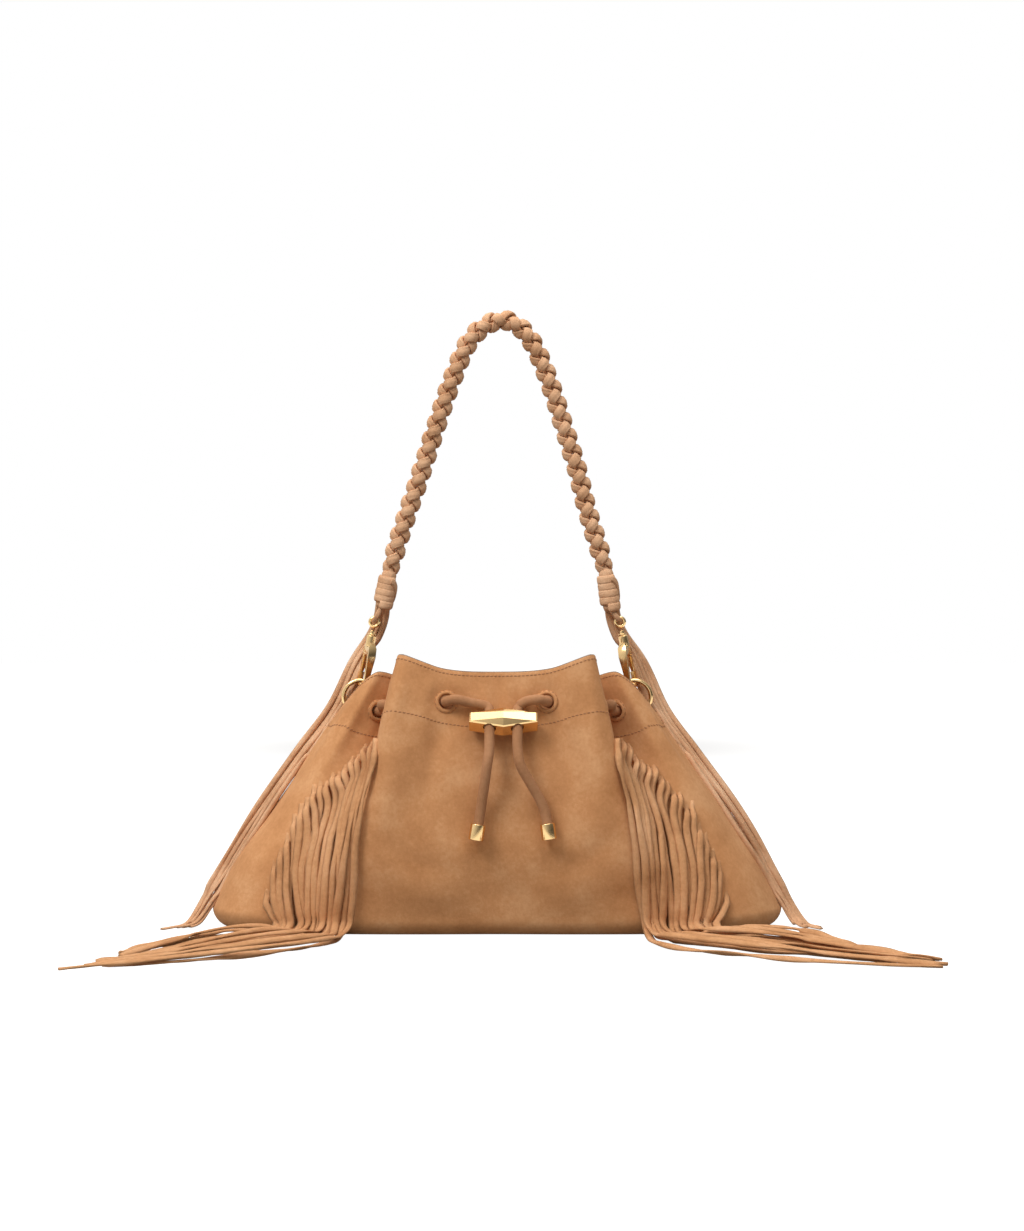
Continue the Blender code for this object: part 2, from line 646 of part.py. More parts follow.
def snap_hook(side, sign):
    held, up, gate = hook_axes(sign)
    cross = np.cross(up, gate)
    hook = plate(f"hook_{side}", hook_outline(), HOOK_THICK, sign, gold(f"hook_{side}"))
    barrel = [(BARREL_R, HOOK_HEAD - 0.003), (BARREL_R, BARREL_TOP - 0.0005),
              (BARREL_R - 0.0005, BARREL_TOP)]
    spine = frame_at(held, gate, up)
    combine(hook, turned(f"barrel_{side}", barrel, 14, spine, gold("barrel")), "UNION")
    bore = [(STEM_R + FIT, HOOK_HEAD - 0.0035), (STEM_R + FIT, BARREL_TOP + 0.002)]
    combine(hook, turned(f"stem_bore_{side}", bore, 12, spine, gold("stem_bore")), "DIFFERENCE")
    slot_back, slot_top = PIN_AT[0] - KNUCKLE_R - 0.0008, PIN_AT[1] + KNUCKLE_R + 0.0006
    slot = [(slot_back, HOOK_THROAT - 0.001), (0.0085, HOOK_THROAT - 0.001),
            (0.0085, slot_top), (slot_back, slot_top)]
    slot_tool = plate(f"gate_slot_{side}", slot, GATE_THICK + 2 * FIT, sign, gold("gate_slot"))
    combine(hook, slot_tool, "DIFFERENCE")
    pin_place = frame_at(along_hook(sign, *PIN_AT), gate, cross)
    wide = HOOK_THICK / 2 + 0.002
    pin_bore = [(PIN_R + FIT, -wide), (PIN_R + FIT, wide)]
    combine(hook, turned(f"pin_bore_{side}", pin_bore, 10, pin_place, gold("pin_bore")), "DIFFERENCE")
    pin = [(PIN_R, -HOOK_THICK / 2), (PIN_R, HOOK_THICK / 2)]
    turned(f"gate_pin_{side}", pin, 10, pin_place, gold(f"gate_pin_{side}"))
    gate_piece = plate(f"gate_{side}", gate_outline(), GATE_THICK, sign, gold(f"gate_{side}"), PIN_AT)
    gate_bore = turned(f"gate_bore_{side}", pin_bore, 10, pin_place, gold("gate_bore"))
    combine(gate_piece, gate_bore, "DIFFERENCE")


def gate_outline():
    """A tongue from the knuckle round its pin down to the nose of the hook."""
    outer = HOOK_INNER + HOOK_STOCK
    low = NOSE_TOP + FIT
    knuckle = arc(PIN_AT, KNUCKLE_R, -20, 200, 8)
    inner, high = outer - GATE_STOCK, PIN_AT[1] - 0.004
    return knuckle + [(inner, high), (inner, low), (outer, low), (outer, high)]


def swivel_eye(side, sign):
    """The eye over the hook: an oval of wire on a stem that turns in the barrel."""
    held, up, _ = hook_axes(sign)
    across = np.array((math.cos(HOOK_LEAN), 0, sign * math.sin(HOOK_LEAN)))
    centre = held + (EYE_TOP - EYE_WIRE - EYE_HALF_WIDTH - EYE_STRAIGHT / 2) * up
    finish = gold(f"swivel_eye_{side}")
    name = f"swivel_eye_{side}"
    eye = flat_ring(name, centre, across, up, EYE_HALF_WIDTH, EYE_STRAIGHT, EYE_WIRE, finish)
    bottom = EYE_TOP - 2 * EYE_WIRE - 2 * EYE_HALF_WIDTH - EYE_STRAIGHT
    stem = [(STEM_R, HOOK_HEAD - 0.003), (STEM_R, BARREL_TOP + FIT), (COLLAR_R, BARREL_TOP + FIT),
            (COLLAR_R, BARREL_TOP + 0.0012), (STEM_R, BARREL_TOP + 0.0016),
            (STEM_R, bottom + 1.5 * EYE_WIRE)]
    combine(eye, turned(f"stem_{side}", stem, 12, frame_at(held, across, up), finish), "UNION")


# Handle

def braid_frames():
    """Even points on the braid's middle line, the in-plane side direction at each and the turns."""
    route = [(x, 0, z) for x, z in BRAID_LINE]
    rough = smooth_path(route, 400)
    length = np.linalg.norm(np.diff(rough, axis=0), axis=1).sum()
    turns = round(length / BRAID_TURN * 2) / 2
    count = int(turns * BRAID_STEPS) + 1
    path = smooth_path(route, count)
    along = directions(path)
    side = np.cross(along, (0, 1.0, 0))
    return path, side, turns


def handle_braid():
    """Four flat strands plaited round each other; each goes over one and under the next."""
    path, side, turns = braid_frames()
    share = np.linspace(0, 1, len(path))
    angle = 2 * math.pi * turns * share
    to_end = np.minimum(share, 1 - share) * turns * BRAID_TURN / GATHER
    open_up = np.clip(0.45 + 0.55 * to_end, 0, 1)
    depth = STRAND_THICK / 2
    section = [(-STRAND_WIDTH / 2, -depth), (STRAND_WIDTH / 2, -depth),
               (STRAND_FACE / 2, depth), (-STRAND_FACE / 2, depth)]
    vertices, faces = [], []
    for way in (1, -1):
        for start in (0, math.pi):
            theta = way * angle + start
            out = np.cos(theta)[:, None] * np.array((0, 1.0, 0)) + np.sin(theta)[:, None] * side
            radius = open_up * (BRAID_R + way * BRAID_WEAVE * np.cos(2 * theta))
            line = path + radius[:, None] * out
            run = directions(line)
            thick = out - (out * run).sum(axis=1)[:, None] * run
            thick /= np.linalg.norm(thick, axis=1)[:, None]
            wide = np.cross(run, thick)
            more, shell = sweep(line, wide, thick, section)
            faces += [tuple(len(vertices) + k for k in face) for face in shell]
            vertices += more
    braid = add_object("handle_braid", vertices, faces, suede("handle_braid"))
    ends = {-1: path[0], 1: path[-1]}
    plug = [(PLUG_R - 0.0008, -0.0035), (PLUG_R, -0.0015), (PLUG_R, PLUG_LENGTH)]
    for side_name, sign in SIDES.items():
        place = frame_at(ends[sign], (0, 1, 0), wrap_foot(sign) - ends[sign])
        end = turned(f"braid_end_{side_name}", plug, 12, place, suede("braid_end"))
        combine(braid, end, "UNION", crossing=True)
    return ends


def wrap_foot(sign):
    x, z = WRAP_FOOT[sign]
    return np.array((x, 0, z))


def wrap(side, sign, top):
    """The whipping: laps of lace round the end of the braid, as a ribbed sleeve."""
    axis = wrap_foot(sign) - top
    length = np.linalg.norm(axis) - 2 * FIT
    axis /= np.linalg.norm(axis)
    bore = PLUG_R + FIT
    ribs = []
    for k in range(WRAP_TURNS):
        low, high = k / WRAP_TURNS, (k + 1) / WRAP_TURNS
        ribs += [(WRAP_R - WRAP_GROOVE, low * length), (WRAP_R, (0.75 * low + 0.25 * high) * length),
                 (WRAP_R, (0.25 * low + 0.75 * high) * length)]
    ribs.append((WRAP_R - WRAP_GROOVE, length))
    deep = PLUG_LENGTH + FIT
    profile = ribs + [(0.0002, length), (0.0002, deep), (bore, deep), (bore, 0)]
    place = frame_at(top + FIT * axis, (0, 1, 0), axis)
    turned(f"wrap_{side}", profile, 10, place, suede(f"wrap_{side}"), hollow=True)


def eye_loop(side, sign):
    """The lace loop from the foot of the whipping through the eye of the hook."""
    held, up, _ = hook_axes(sign)
    low = held + (EYE_TOP - 2 * EYE_WIRE - FIT - LOOP_WIRE) * up
    top = wrap_foot(sign) - (0, 0, LOOP_DROP)
    spread = np.array((0, LOOP_SPREAD, 0))
    drop = low - top
    shoulder, neck = LOOP_SHOULDER * spread, LOOP_NECK * spread
    route = [top - spread, top - shoulder + 0.35 * drop, top - neck + 0.75 * drop, low,
             top + neck + 0.75 * drop, top + shoulder + 0.35 * drop, top + spread]
    path = smooth_path(route, 12)
    along = directions(path)
    across = np.array((math.cos(HOOK_LEAN), 0, sign * math.sin(HOOK_LEAN)))
    across = np.array([across - across.dot(a) * a for a in along])
    across /= np.linalg.norm(across, axis=1)[:, None]
    lace = sweep(path, across, np.cross(along, across), round_section(LOOP_WIRE, 6))
    add_object(f"loop_{side}", *lace, suede(f"loop_{side}"))


# Cut fringes: a header with strands in one sheet

def comb(name, header, strands, thickness):
    """A closed sheet: header rows of points across, then each strand's pairs of edge points going down."""
    columns = len(header[0])
    vertices = [Vector(p) for row in header for p in row]
    faces = [(r * columns + c, r * columns + c + 1, (r + 1) * columns + c + 1, (r + 1) * columns + c)
             for r in range(len(header) - 1) for c in range(columns - 1)]
    last = (len(header) - 1) * columns
    for i, strand in enumerate(strands):
        above = (last + 2 * i, last + 2 * i + 1)
        for pair in strand:
            here = (len(vertices), len(vertices) + 1)
            vertices += [Vector(p) for p in pair]
            faces.append((above[0], above[1], here[1], here[0]))
            above = here
    mesh = bpy.data.meshes.new(name)
    mesh.from_pydata(vertices, [], faces)
    mesh.materials.append(suede(name))
    thing = bpy.data.objects.new(name, mesh)
    bpy.context.scene.collection.objects.link(thing)
    thick = thing.modifiers.new("thickness", "SOLIDIFY")
    thick.thickness = thickness
    thick.offset = 0
    thick.use_even_offset = False
    return thing


def strand_edges(path, widths, sign):
    """Edge points of a strand that hangs facing the front and then lies face up."""
    along = directions(path)
    pairs = []
    for point, run, width in zip(path, along, widths):
        flat = math.sqrt(max(0.0, 1 - run[2] ** 2))
        face = np.array((0, flat - 1, flat)) if flat < 1 else np.array((0, 0, 1.0))
        face = face - face.dot(run) * run
        side = np.cross(face, run)
        side /= np.linalg.norm(side)
        pairs.append((point - sign * width / 2 * side, point + sign * width / 2 * side))
    return pairs


def between(inner, outer, share):
    return np.asarray(inner, float) * (1 - share) + np.asarray(outer, float) * share


def fringe_top(share):
    """The point of the slits' line at a share of its width, and the direction away from the strands."""
    line = np.array(FRINGE_LINE)
    x = line[0, 0] * (1 - share) + line[-1, 0] * share
    half = FRINGE_WIDTH / 2
    before, after = (on_curve(line[:, 1:], line[:, 0], [x + d])[0, 0] for d in (-half, half))
    away = np.array((before - after, FRINGE_WIDTH)) / math.hypot(before - after, FRINGE_WIDTH)
    return np.array((x, (before + after) / 2)), away


def fringe_route(share, wall):
    """Middle line of one strand: down the wall from the slit's line, then out over the floor."""
    top = fringe_top(share)[0]
    floor = [between(a, b, share) for a, b in zip(FRINGE_INNER_FLOOR, FRINGE_OUTER_FLOOR)]
    start = top - (0, 0.006)
    fine = 6
    count = FRINGE_HANGING if start[1] > 0.04 else 3
    fronts = [0.0]
    falls = np.linspace(0, 1, (count - 1) * fine + 1)
    places = [between(start, (floor[0][0], FRINGE_LOW), fall) for fall in falls]
    for x, z in places:
        low = max(z, BASE_RADIUS + FIT)
        seen = min(wall.from_front(x + d, low)[0].y for d in (-FRINGE_WIDTH, 0, FRINGE_WIDTH))
        fronts.append(min(fronts[-1], seen - FRINGE_LIFT - FIT))
    fronts = fronts[1:] + [fronts[-1]] * fine
    ahead = [fine // 2] + [(k + 1) * fine for k in range(1, count)]
    route = [(places[k * fine][0], fronts[ahead[k]], places[k * fine][1]) for k in range(count)]
    rest = LACE / 2 + FIT
    foot = between(route[-1][:2], floor[0], 0.45)
    return np.array(route + [(foot[0], foot[1], rest + 0.0022)] + [(x, y, rest) for x, y in floor])


def fringe(side, sign, wall):
    """A suede panel cut into strands below a slanting line and sewn on along it."""
    step = 1 / (FRINGE_STRANDS - 1)
    header = []
    for rise in (FRINGE_HEADER, 0.0):
        row = []
        for i in range(FRINGE_STRANDS):
            for edge in (-0.36, 0.36):
                top, away = fringe_top((i + edge) * step)
                x, z = top + rise * away
                point = wall.from_front(x, z)
                row.append(point[0] + (FRINGE_LIFT + FIT) * point[1])
        header.append(row)
    strands = []
    for i in range(FRINGE_STRANDS):
        path = fringe_route(i * step, wall)
        strands.append(strand_edges(path, [FRINGE_WIDTH] * len(path), -1))
    mirror = Vector((sign, 1, 1))
    header = [[p * mirror for p in row] for row in header]
    strands = [[[Vector(p) * mirror for p in pair] for pair in strand] for strand in strands]
    comb(f"fringe_{side}", header, strands, LACE)


def tassel(side, sign):
    """The loose ends of the lace, falling behind the hook and down the bag's edge to the floor."""
    reach = (TASSEL_STRANDS - 1) / 2 * TASSEL_PITCH + TASSEL_WIDTH / 2 + TASSEL_GAP
    seam = wall_points([0], TASSEL_SHARES)[:, 0] + reach * wall_normals([0], TASSEL_SHARES)[:, 0]
    down = [(p[0], y, p[2]) for p, y in zip(seam, TASSEL_AHEAD)]
    middle = smooth_path(TASSEL_TOP + down + TASSEL_FLOOR, TASSEL_SECTIONS)
    along = directions(middle)
    strands, header = [], [[], []]
    for i in range(TASSEL_STRANDS):
        pairs = []
        for point, run in zip(middle, along):
            flat = math.sqrt(max(0.0, 1 - run[2] ** 2)) if point[2] < 0.02 else 0.0
            face = np.array((0, flat - 1, flat))
            face = face - face.dot(run) * run
            across = np.cross(face, run)
            across /= np.linalg.norm(across)
            offset = (i - (TASSEL_STRANDS - 1) / 2) * TASSEL_PITCH
            pairs.append([point + (offset + d * TASSEL_WIDTH / 2) * across for d in (-1, 1)])
        strands.append(pairs[1:])
        header[1] += pairs[0]
        header[0] += [p - TASSEL_HEADER * along[0] * 0.8 for p in pairs[0]]
    mirror = np.array((sign, 1, 1))
    header = [[p * mirror for p in row] for row in header]
    strands = [[[p * mirror for p in pair] for pair in strand] for strand in strands]
    comb(f"tassel_{side}", header, strands, LACE)


def main():
    clear_scene()
    wall = body()
    path = drawstring()
    end_caps(path)
    cord_slide()
    ends = handle_braid()
    for side, sign in SIDES.items():
        ring_and_tab(side, sign)
        snap_hook(side, sign)
        swivel_eye(side, sign)
        wrap(side, sign, ends[sign])
        eye_loop(side, sign)
        fringe(side, sign, wall)
        tassel(side, sign)


main()
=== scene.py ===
# Fringed suede drawstring bag: shell, cut fringes, plaited handle, gold-tone hooks and slide.
import math
import random

import bmesh
import bpy
import numpy as np
from mathutils import Matrix, Vector, noise
from mathutils.bvhtree import BVHTree


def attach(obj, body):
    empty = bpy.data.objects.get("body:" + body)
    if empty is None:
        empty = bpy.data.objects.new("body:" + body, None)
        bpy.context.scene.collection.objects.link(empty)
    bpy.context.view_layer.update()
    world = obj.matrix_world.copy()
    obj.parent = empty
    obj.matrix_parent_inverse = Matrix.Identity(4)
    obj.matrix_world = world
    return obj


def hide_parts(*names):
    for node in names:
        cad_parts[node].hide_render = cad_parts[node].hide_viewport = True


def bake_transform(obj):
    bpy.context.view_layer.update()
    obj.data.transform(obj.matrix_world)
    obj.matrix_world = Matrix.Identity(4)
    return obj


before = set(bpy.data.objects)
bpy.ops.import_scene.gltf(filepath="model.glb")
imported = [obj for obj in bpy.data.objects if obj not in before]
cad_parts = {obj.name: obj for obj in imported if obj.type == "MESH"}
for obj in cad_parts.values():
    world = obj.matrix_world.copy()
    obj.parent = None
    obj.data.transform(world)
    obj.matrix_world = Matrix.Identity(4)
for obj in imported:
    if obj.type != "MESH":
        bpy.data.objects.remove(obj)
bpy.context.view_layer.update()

sides = {"left": -1, "right": 1}
rng = random.Random(7)


# Curves, meshes and small helpers

def onCurve(points, knots, where):
    # points at the given knot values on a smooth curve through the points
    points = np.asarray(points, float)
    chord = np.diff(knots).reshape(-1, *[1] * (points.ndim - 1))
    slope = np.diff(points, axis=0) / chord
    tangent = np.concatenate((slope[:1], slope[:-1] * chord[1:] + slope[1:] * chord[:-1], slope[-1:]))
    tangent[1:-1] /= chord[1:] + chord[:-1]
    found = []
    for value in where:
        i = int(np.clip(np.searchsorted(knots, value, side="right") - 1, 0, len(knots) - 2))
        step = knots[i + 1] - knots[i]
        u = (value - knots[i]) / step
        found.append((2 * u**3 - 3 * u**2 + 1) * points[i] + (u**3 - 2 * u**2 + u) * step * tangent[i]
                     + (3 * u**2 - 2 * u**3) * points[i + 1] + (u**3 - u**2) * step * tangent[i + 1])
    return np.array(found)


def smoothPath(points, count):
    # evenly spaced points on a smooth curve through the route's points
    points = np.asarray(points, float)
    knots = np.concatenate(([0], np.cumsum(np.sqrt(np.linalg.norm(np.diff(points, axis=0), axis=1)))))
    fine = onCurve(points, knots, np.linspace(0, knots[-1], max(16 * len(points), 3 * count)))
    length = np.concatenate(([0], np.cumsum(np.linalg.norm(np.diff(fine, axis=0), axis=1))))
    spots = np.linspace(0, length[-1], count)
    return np.stack([np.interp(spots, length, fine[:, k]) for k in range(3)], axis=1)


def pathLength(path):
    return float(np.linalg.norm(np.diff(path, axis=0), axis=1).sum())


def unit(v):
    return v / np.linalg.norm(v, axis=-1, keepdims=True)


def directions(path, closed=False):
    if closed:
        return unit(np.roll(path, -1, axis=0) - np.roll(path, 1, axis=0))
    return unit(np.gradient(path, axis=0))


def addMesh(name, vertices, faces, finish, uvs=None, smooth=True):
    mesh = bpy.data.meshes.new(name)
    mesh.from_pydata([tuple(float(c) for c in v) for v in vertices], [], [tuple(f) for f in faces])
    if uvs is not None:
        layer = mesh.uv_layers.new(name="along")
        table = np.asarray(uvs, float)
        loops = np.zeros(len(mesh.loops), dtype=np.int32)
        mesh.loops.foreach_get("vertex_index", loops)
        layer.data.foreach_set("uv", table[loops].astype(np.float32).ravel())
    shape = bmesh.new()
    shape.from_mesh(mesh)
    bmesh.ops.recalc_face_normals(shape, faces=shape.faces)
    if shape.calc_volume(signed=True) < 0:
        bmesh.ops.reverse_faces(shape, faces=shape.faces)
    shape.to_mesh(mesh)
    shape.free()
    if smooth:
        mesh.shade_smooth()
    mesh.materials.append(finish)
    piece = bpy.data.objects.new(name, mesh)
    bpy.context.scene.collection.objects.link(piece)
    return piece


def sweepBar(path, wide, thick, section, closed=False, start=0):
    # vertices, faces and (round, along) values of a bar with the section laid along wide and thick
    count = len(section[0]) if isinstance(section[0][0], (list, tuple, np.ndarray)) else len(section)
    rings = len(path)
    reach = np.concatenate(([0], np.cumsum(np.linalg.norm(np.diff(path, axis=0), axis=1))))
    vertices, uvs = [], []
    for i, (p, a, b) in enumerate(zip(path, wide, thick)):
        shape = section[i] if count != len(section) or isinstance(section[0][0], (list, tuple, np.ndarray)) else section
        for k, (w, t) in enumerate(shape):
            vertices.append(p + w * a + t * b)
            uvs.append((k / count, reach[i]))
    faces = []
    for i in range(rings if closed else rings - 1):
        here, there = start + i * count, start + (i + 1) % rings * count
        faces += [(here + k, here + (k + 1) % count, there + (k + 1) % count, there + k) for k in range(count)]
    if not closed:
        faces.append(tuple(start + k for k in range(count)))
        faces.append(tuple(start + (rings - 1) * count + k for k in range(count)))
    return vertices, faces, uvs


def roundSection(radius, count):
    return [(radius * math.cos(2 * math.pi * k / count), radius * math.sin(2 * math.pi * k / count)) for k in range(count)]


def bandSection(width, thick, crown=0.0, count=5):
    # a flat band with round edges; crown lifts its middle
    top = [(width / 2 * (1 - 2 * k / (count - 1)), 0.0) for k in range(count)]
    upper = [(w, thick / 2 * math.sqrt(max(0.0, 1 - (2 * w / width) ** 6)) + crown * (1 - (2 * w / width) ** 2)) for w, _ in top]
    lower = [(w, -thick / 2 * math.sqrt(max(0.0, 1 - (2 * w / width) ** 6)) + crown * (1 - (2 * w / width) ** 2)) for w, _ in top[::-1]]
    return upper + lower[1:-1]


def freeSide(along, hint):
    # unit sides square to the line, nearest to the hint
    hint = np.asarray(hint, float)
    side = hint - (hint * along).sum(axis=1, keepdims=True) * along if hint.ndim == 2 else hint - (along @ hint)[:, None] * along
    return unit(side)


def carried(along, first):
    # a side direction carried along the line without twist
    side = np.asarray(first, float)
    found = []
    for a in along:
        side = side - side.dot(a) * a
        side = side / np.linalg.norm(side)
        found.append(side)
    return np.array(found)


def pickNone():
    bpy.ops.object.select_all(action="DESELECT")
    bpy.context.view_layer.objects.active = None


def pickOnly(piece):
    pickNone()
    piece.select_set(True)
    bpy.context.view_layer.objects.active = piece


def applyAll(piece):
    pickOnly(piece)
    for step in list(piece.modifiers):
        bpy.ops.object.modifier_apply(modifier=step.name)


def settle(piece, name, finish, place=None):
    # moves a new piece's place into its mesh
    if place is not None:
        piece.data.transform(place)
    pickOnly(piece)
    bpy.ops.object.transform_apply(location=True, rotation=True, scale=True)
    piece.name = name
    piece.data.name = name
    piece.data.materials.clear()
    piece.data.materials.append(finish)
    return piece


def frameAt(origin, right, up):
    up = Vector(up).normalized()
    right = (Vector(right) - Vector(right).dot(up) * up).normalized()
    return Matrix.Translation(Vector(origin)) @ Matrix((right, up.cross(right), up)).transposed().to_4x4()


# Materials

def linear(code):
    # an sRGB hex colour as linear values
    values = [int(code[i:i + 2], 16) / 255 for i in (1, 3, 5)]
    return tuple(v / 12.92 if v <= 0.04045 else ((v + 0.055) / 1.055) ** 2.4 for v in values) + (1.0,)


def addNode(tree, kind, links=None, **settings):
    # adds a node; links maps an input's name or number to a socket or a value
    node = tree.nodes.new(kind)
    for key, value in settings.items():
        setattr(node, key, value)
    for key, value in (links or {}).items():
        if isinstance(value, bpy.types.NodeSocket):
            tree.links.new(value, node.inputs[key])
        else:
            node.inputs[key].default_value = value
    return node


def newMaterial(name):
    made = bpy.data.materials.new(name)
    made.use_nodes = True
    made.node_tree.nodes.clear()
    return made, made.node_tree


def colourRamp(tree, source, stops):
    ramp = addNode(tree, "ShaderNodeValToRGB", {"Fac": source})
    for i, (place, code) in enumerate(stops):
        stop = ramp.color_ramp.elements[i] if i < 2 else ramp.color_ramp.elements.new(place)
        stop.position = place
        stop.color = linear(code)
    return ramp.outputs["Color"]


suedeLook = {
    "light": "#DFAA7B", "mid": "#CB9161", "deep": "#B57C4E",
    "mottle": 38.0,      # brushed patches about 26 mm across
    "nap": 420.0,        # clumps of nap about 2.4 mm, drawn coarser than the real 0.3 mm fibres so that they show
    "fibre": 2600.0,     # fibre tips about 0.4 mm
    "bump": 0.00022,
}


def suedeMaterial(name, light, mid, deep, bump=1.0, streaks=None):
    # Split cowhide suede, buffed: matt, soft, with brushed patches where the nap lies another way
    made, tree = newMaterial(name)
    where = addNode(tree, "ShaderNodeTexCoord").outputs["Object"]
    mottle = addNode(tree, "ShaderNodeTexNoise", {"Vector": where, "Scale": suedeLook["mottle"], "Detail": 4.0, "Roughness": 0.55})
    nap = addNode(tree, "ShaderNodeTexNoise", {"Vector": where, "Scale": suedeLook["nap"], "Detail": 3.0, "Roughness": 0.6})
    fibre = addNode(tree, "ShaderNodeTexNoise", {"Vector": where, "Scale": suedeLook["fibre"], "Detail": 2.0, "Roughness": 0.6})
    blend = addNode(tree, "ShaderNodeMath", {0: mottle.outputs["Fac"], 1: 0.72}, operation="MULTIPLY")
    blend = addNode(tree, "ShaderNodeMath", {0: nap.outputs["Fac"], 1: 0.28, 2: blend.outputs[0]}, operation="MULTIPLY_ADD")
    colour = colourRamp(tree, blend.outputs[0], [(0.26, deep), (0.74, light), (0.50, mid)])
    height = addNode(tree, "ShaderNodeMath", {0: nap.outputs["Fac"], 1: 0.7}, operation="MULTIPLY")
    height = addNode(tree, "ShaderNodeMath", {0: fibre.outputs["Fac"], 1: 0.3, 2: height.outputs[0]}, operation="MULTIPLY_ADD")
    level = height.outputs[0]
    if streaks:
        along = addNode(tree, "ShaderNodeUVMap", uv_map="along").outputs["UV"]
        stretched = addNode(tree, "ShaderNodeMapping", {"Vector": along, "Scale": (streaks, 60.0, 1.0)})
        lines = addNode(tree, "ShaderNodeTexNoise", {"Vector": stretched.outputs[0], "Scale": 1.0, "Detail": 3.0, "Roughness": 0.6})
        level = addNode(tree, "ShaderNodeMath", {0: lines.outputs["Fac"], 1: 1.6, 2: level}, operation="MULTIPLY_ADD").outputs[0]
    raised = addNode(tree, "ShaderNodeBump", {"Height": level, "Strength": 0.85, "Distance": suedeLook["bump"] * bump})
    rough = addNode(tree, "ShaderNodeMapRange", {"Value": nap.outputs["Fac"], "To Min": 0.86, "To Max": 1.0})
    shader = addNode(tree, "ShaderNodeBsdfPrincipled", {
        "Base Color": colour, "Roughness": rough.outputs[0], "Normal": raised.outputs[0], "IOR": 1.45,
        "Specular IOR Level": 0.15, "Sheen Weight": 0.16, "Sheen Roughness": 0.45, "Sheen Tint": linear("#F0C9A0")})
    addNode(tree, "ShaderNodeOutputMaterial", {"Surface": shader.outputs[0]})
    return made


def goldMaterial(name, colour, rough):
    # Zinc die-cast with gold-tone plating, polished: warm mirror with faint hairlines from buffing
    made, tree = newMaterial(name)
    where = addNode(tree, "ShaderNodeTexCoord").outputs["Object"]
    stretched = addNode(tree, "ShaderNodeMapping", {"Vector": where, "Scale": (500.0, 500.0, 4000.0)})
    hair = addNode(tree, "ShaderNodeTexNoise", {"Vector": stretched.outputs[0], "Scale": 1.0, "Detail": 2.0})
    haze = addNode(tree, "ShaderNodeTexNoise", {"Vector": where, "Scale": 180.0, "Detail": 2.0})
    spread = addNode(tree, "ShaderNodeMapRange", {"Value": haze.outputs["Fac"], "To Min": rough * 0.75, "To Max": rough * 1.35})
    raised = addNode(tree, "ShaderNodeBump", {"Height": hair.outputs["Fac"], "Strength": 0.06, "Distance": 0.0001})
    shader = addNode(tree, "ShaderNodeBsdfPrincipled", {
        "Base Color": linear(colour), "Metallic": 1.0, "Roughness": spread.outputs[0], "Normal": raised.outputs[0]})
    addNode(tree, "ShaderNodeOutputMaterial", {"Surface": shader.outputs[0]})
    return made


def plainMaterial(name, colour, rough, grain):
    made, tree = newMaterial(name)
    where = addNode(tree, "ShaderNodeTexCoord").outputs["Object"]
    speck = addNode(tree, "ShaderNodeTexNoise", {"Vector": where, "Scale": grain, "Detail": 3.0})
    raised = addNode(tree, "ShaderNodeBump", {"Height": speck.outputs["Fac"], "Strength": 0.5, "Distance": 0.0001})
    spread = addNode(tree, "ShaderNodeMapRange", {"Value": speck.outputs["Fac"], "To Min": rough - 0.08, "To Max": rough + 0.08})
    shader = addNode(tree, "ShaderNodeBsdfPrincipled", {
        "Base Color": linear(colour), "Roughness": spread.outputs[0], "Normal": raised.outputs[0]})
    addNode(tree, "ShaderNodeOutputMaterial", {"Surface": shader.outputs[0]})
    return made


shellSuede = suedeMaterial("buffedSuede", suedeLook["light"], suedeLook["mid"], suedeLook["deep"])
fringeSuede = suedeMaterial("cutSuedeStrands", "#DFAD82", "#CA9568", "#AA754B", 1.2, 7.0)
laceSuede = suedeMaterial("suedeLace", "#EBC19C", "#D8A881", "#B4835C", 1.2, 9.0)
cordSuede = suedeMaterial("roundSuedeCord", "#C08E68", "#AF7D58", "#966743", 0.6, 5.0)
goldTone = goldMaterial("goldTonePlating", "#EDC88E", 0.16)
edgePaint = plainMaterial("edgePaint", "#7A5F4A", 0.55, 900.0)        # the rim's painted edge, greyish brown, satin
thread = plainMaterial("polyesterThread", "#A36F46", 0.6, 3000.0)     # bonded sewing thread, a shade darker than the suede
print("materials made")


# Camera and drawstring come first

cameraSet = {"at": (0.010, -1.5, 0.208), "lens": 64.8}
lens = bpy.data.cameras.new("camera")
lens.lens = cameraSet["lens"]
lens.sensor_width = 36.0
camera = bpy.data.objects.new("camera", lens)
camera.location = cameraSet["at"]
camera.rotation_euler = (math.pi / 2, 0, 0)
bpy.context.scene.collection.objects.link(camera)
bpy.context.scene.camera = camera

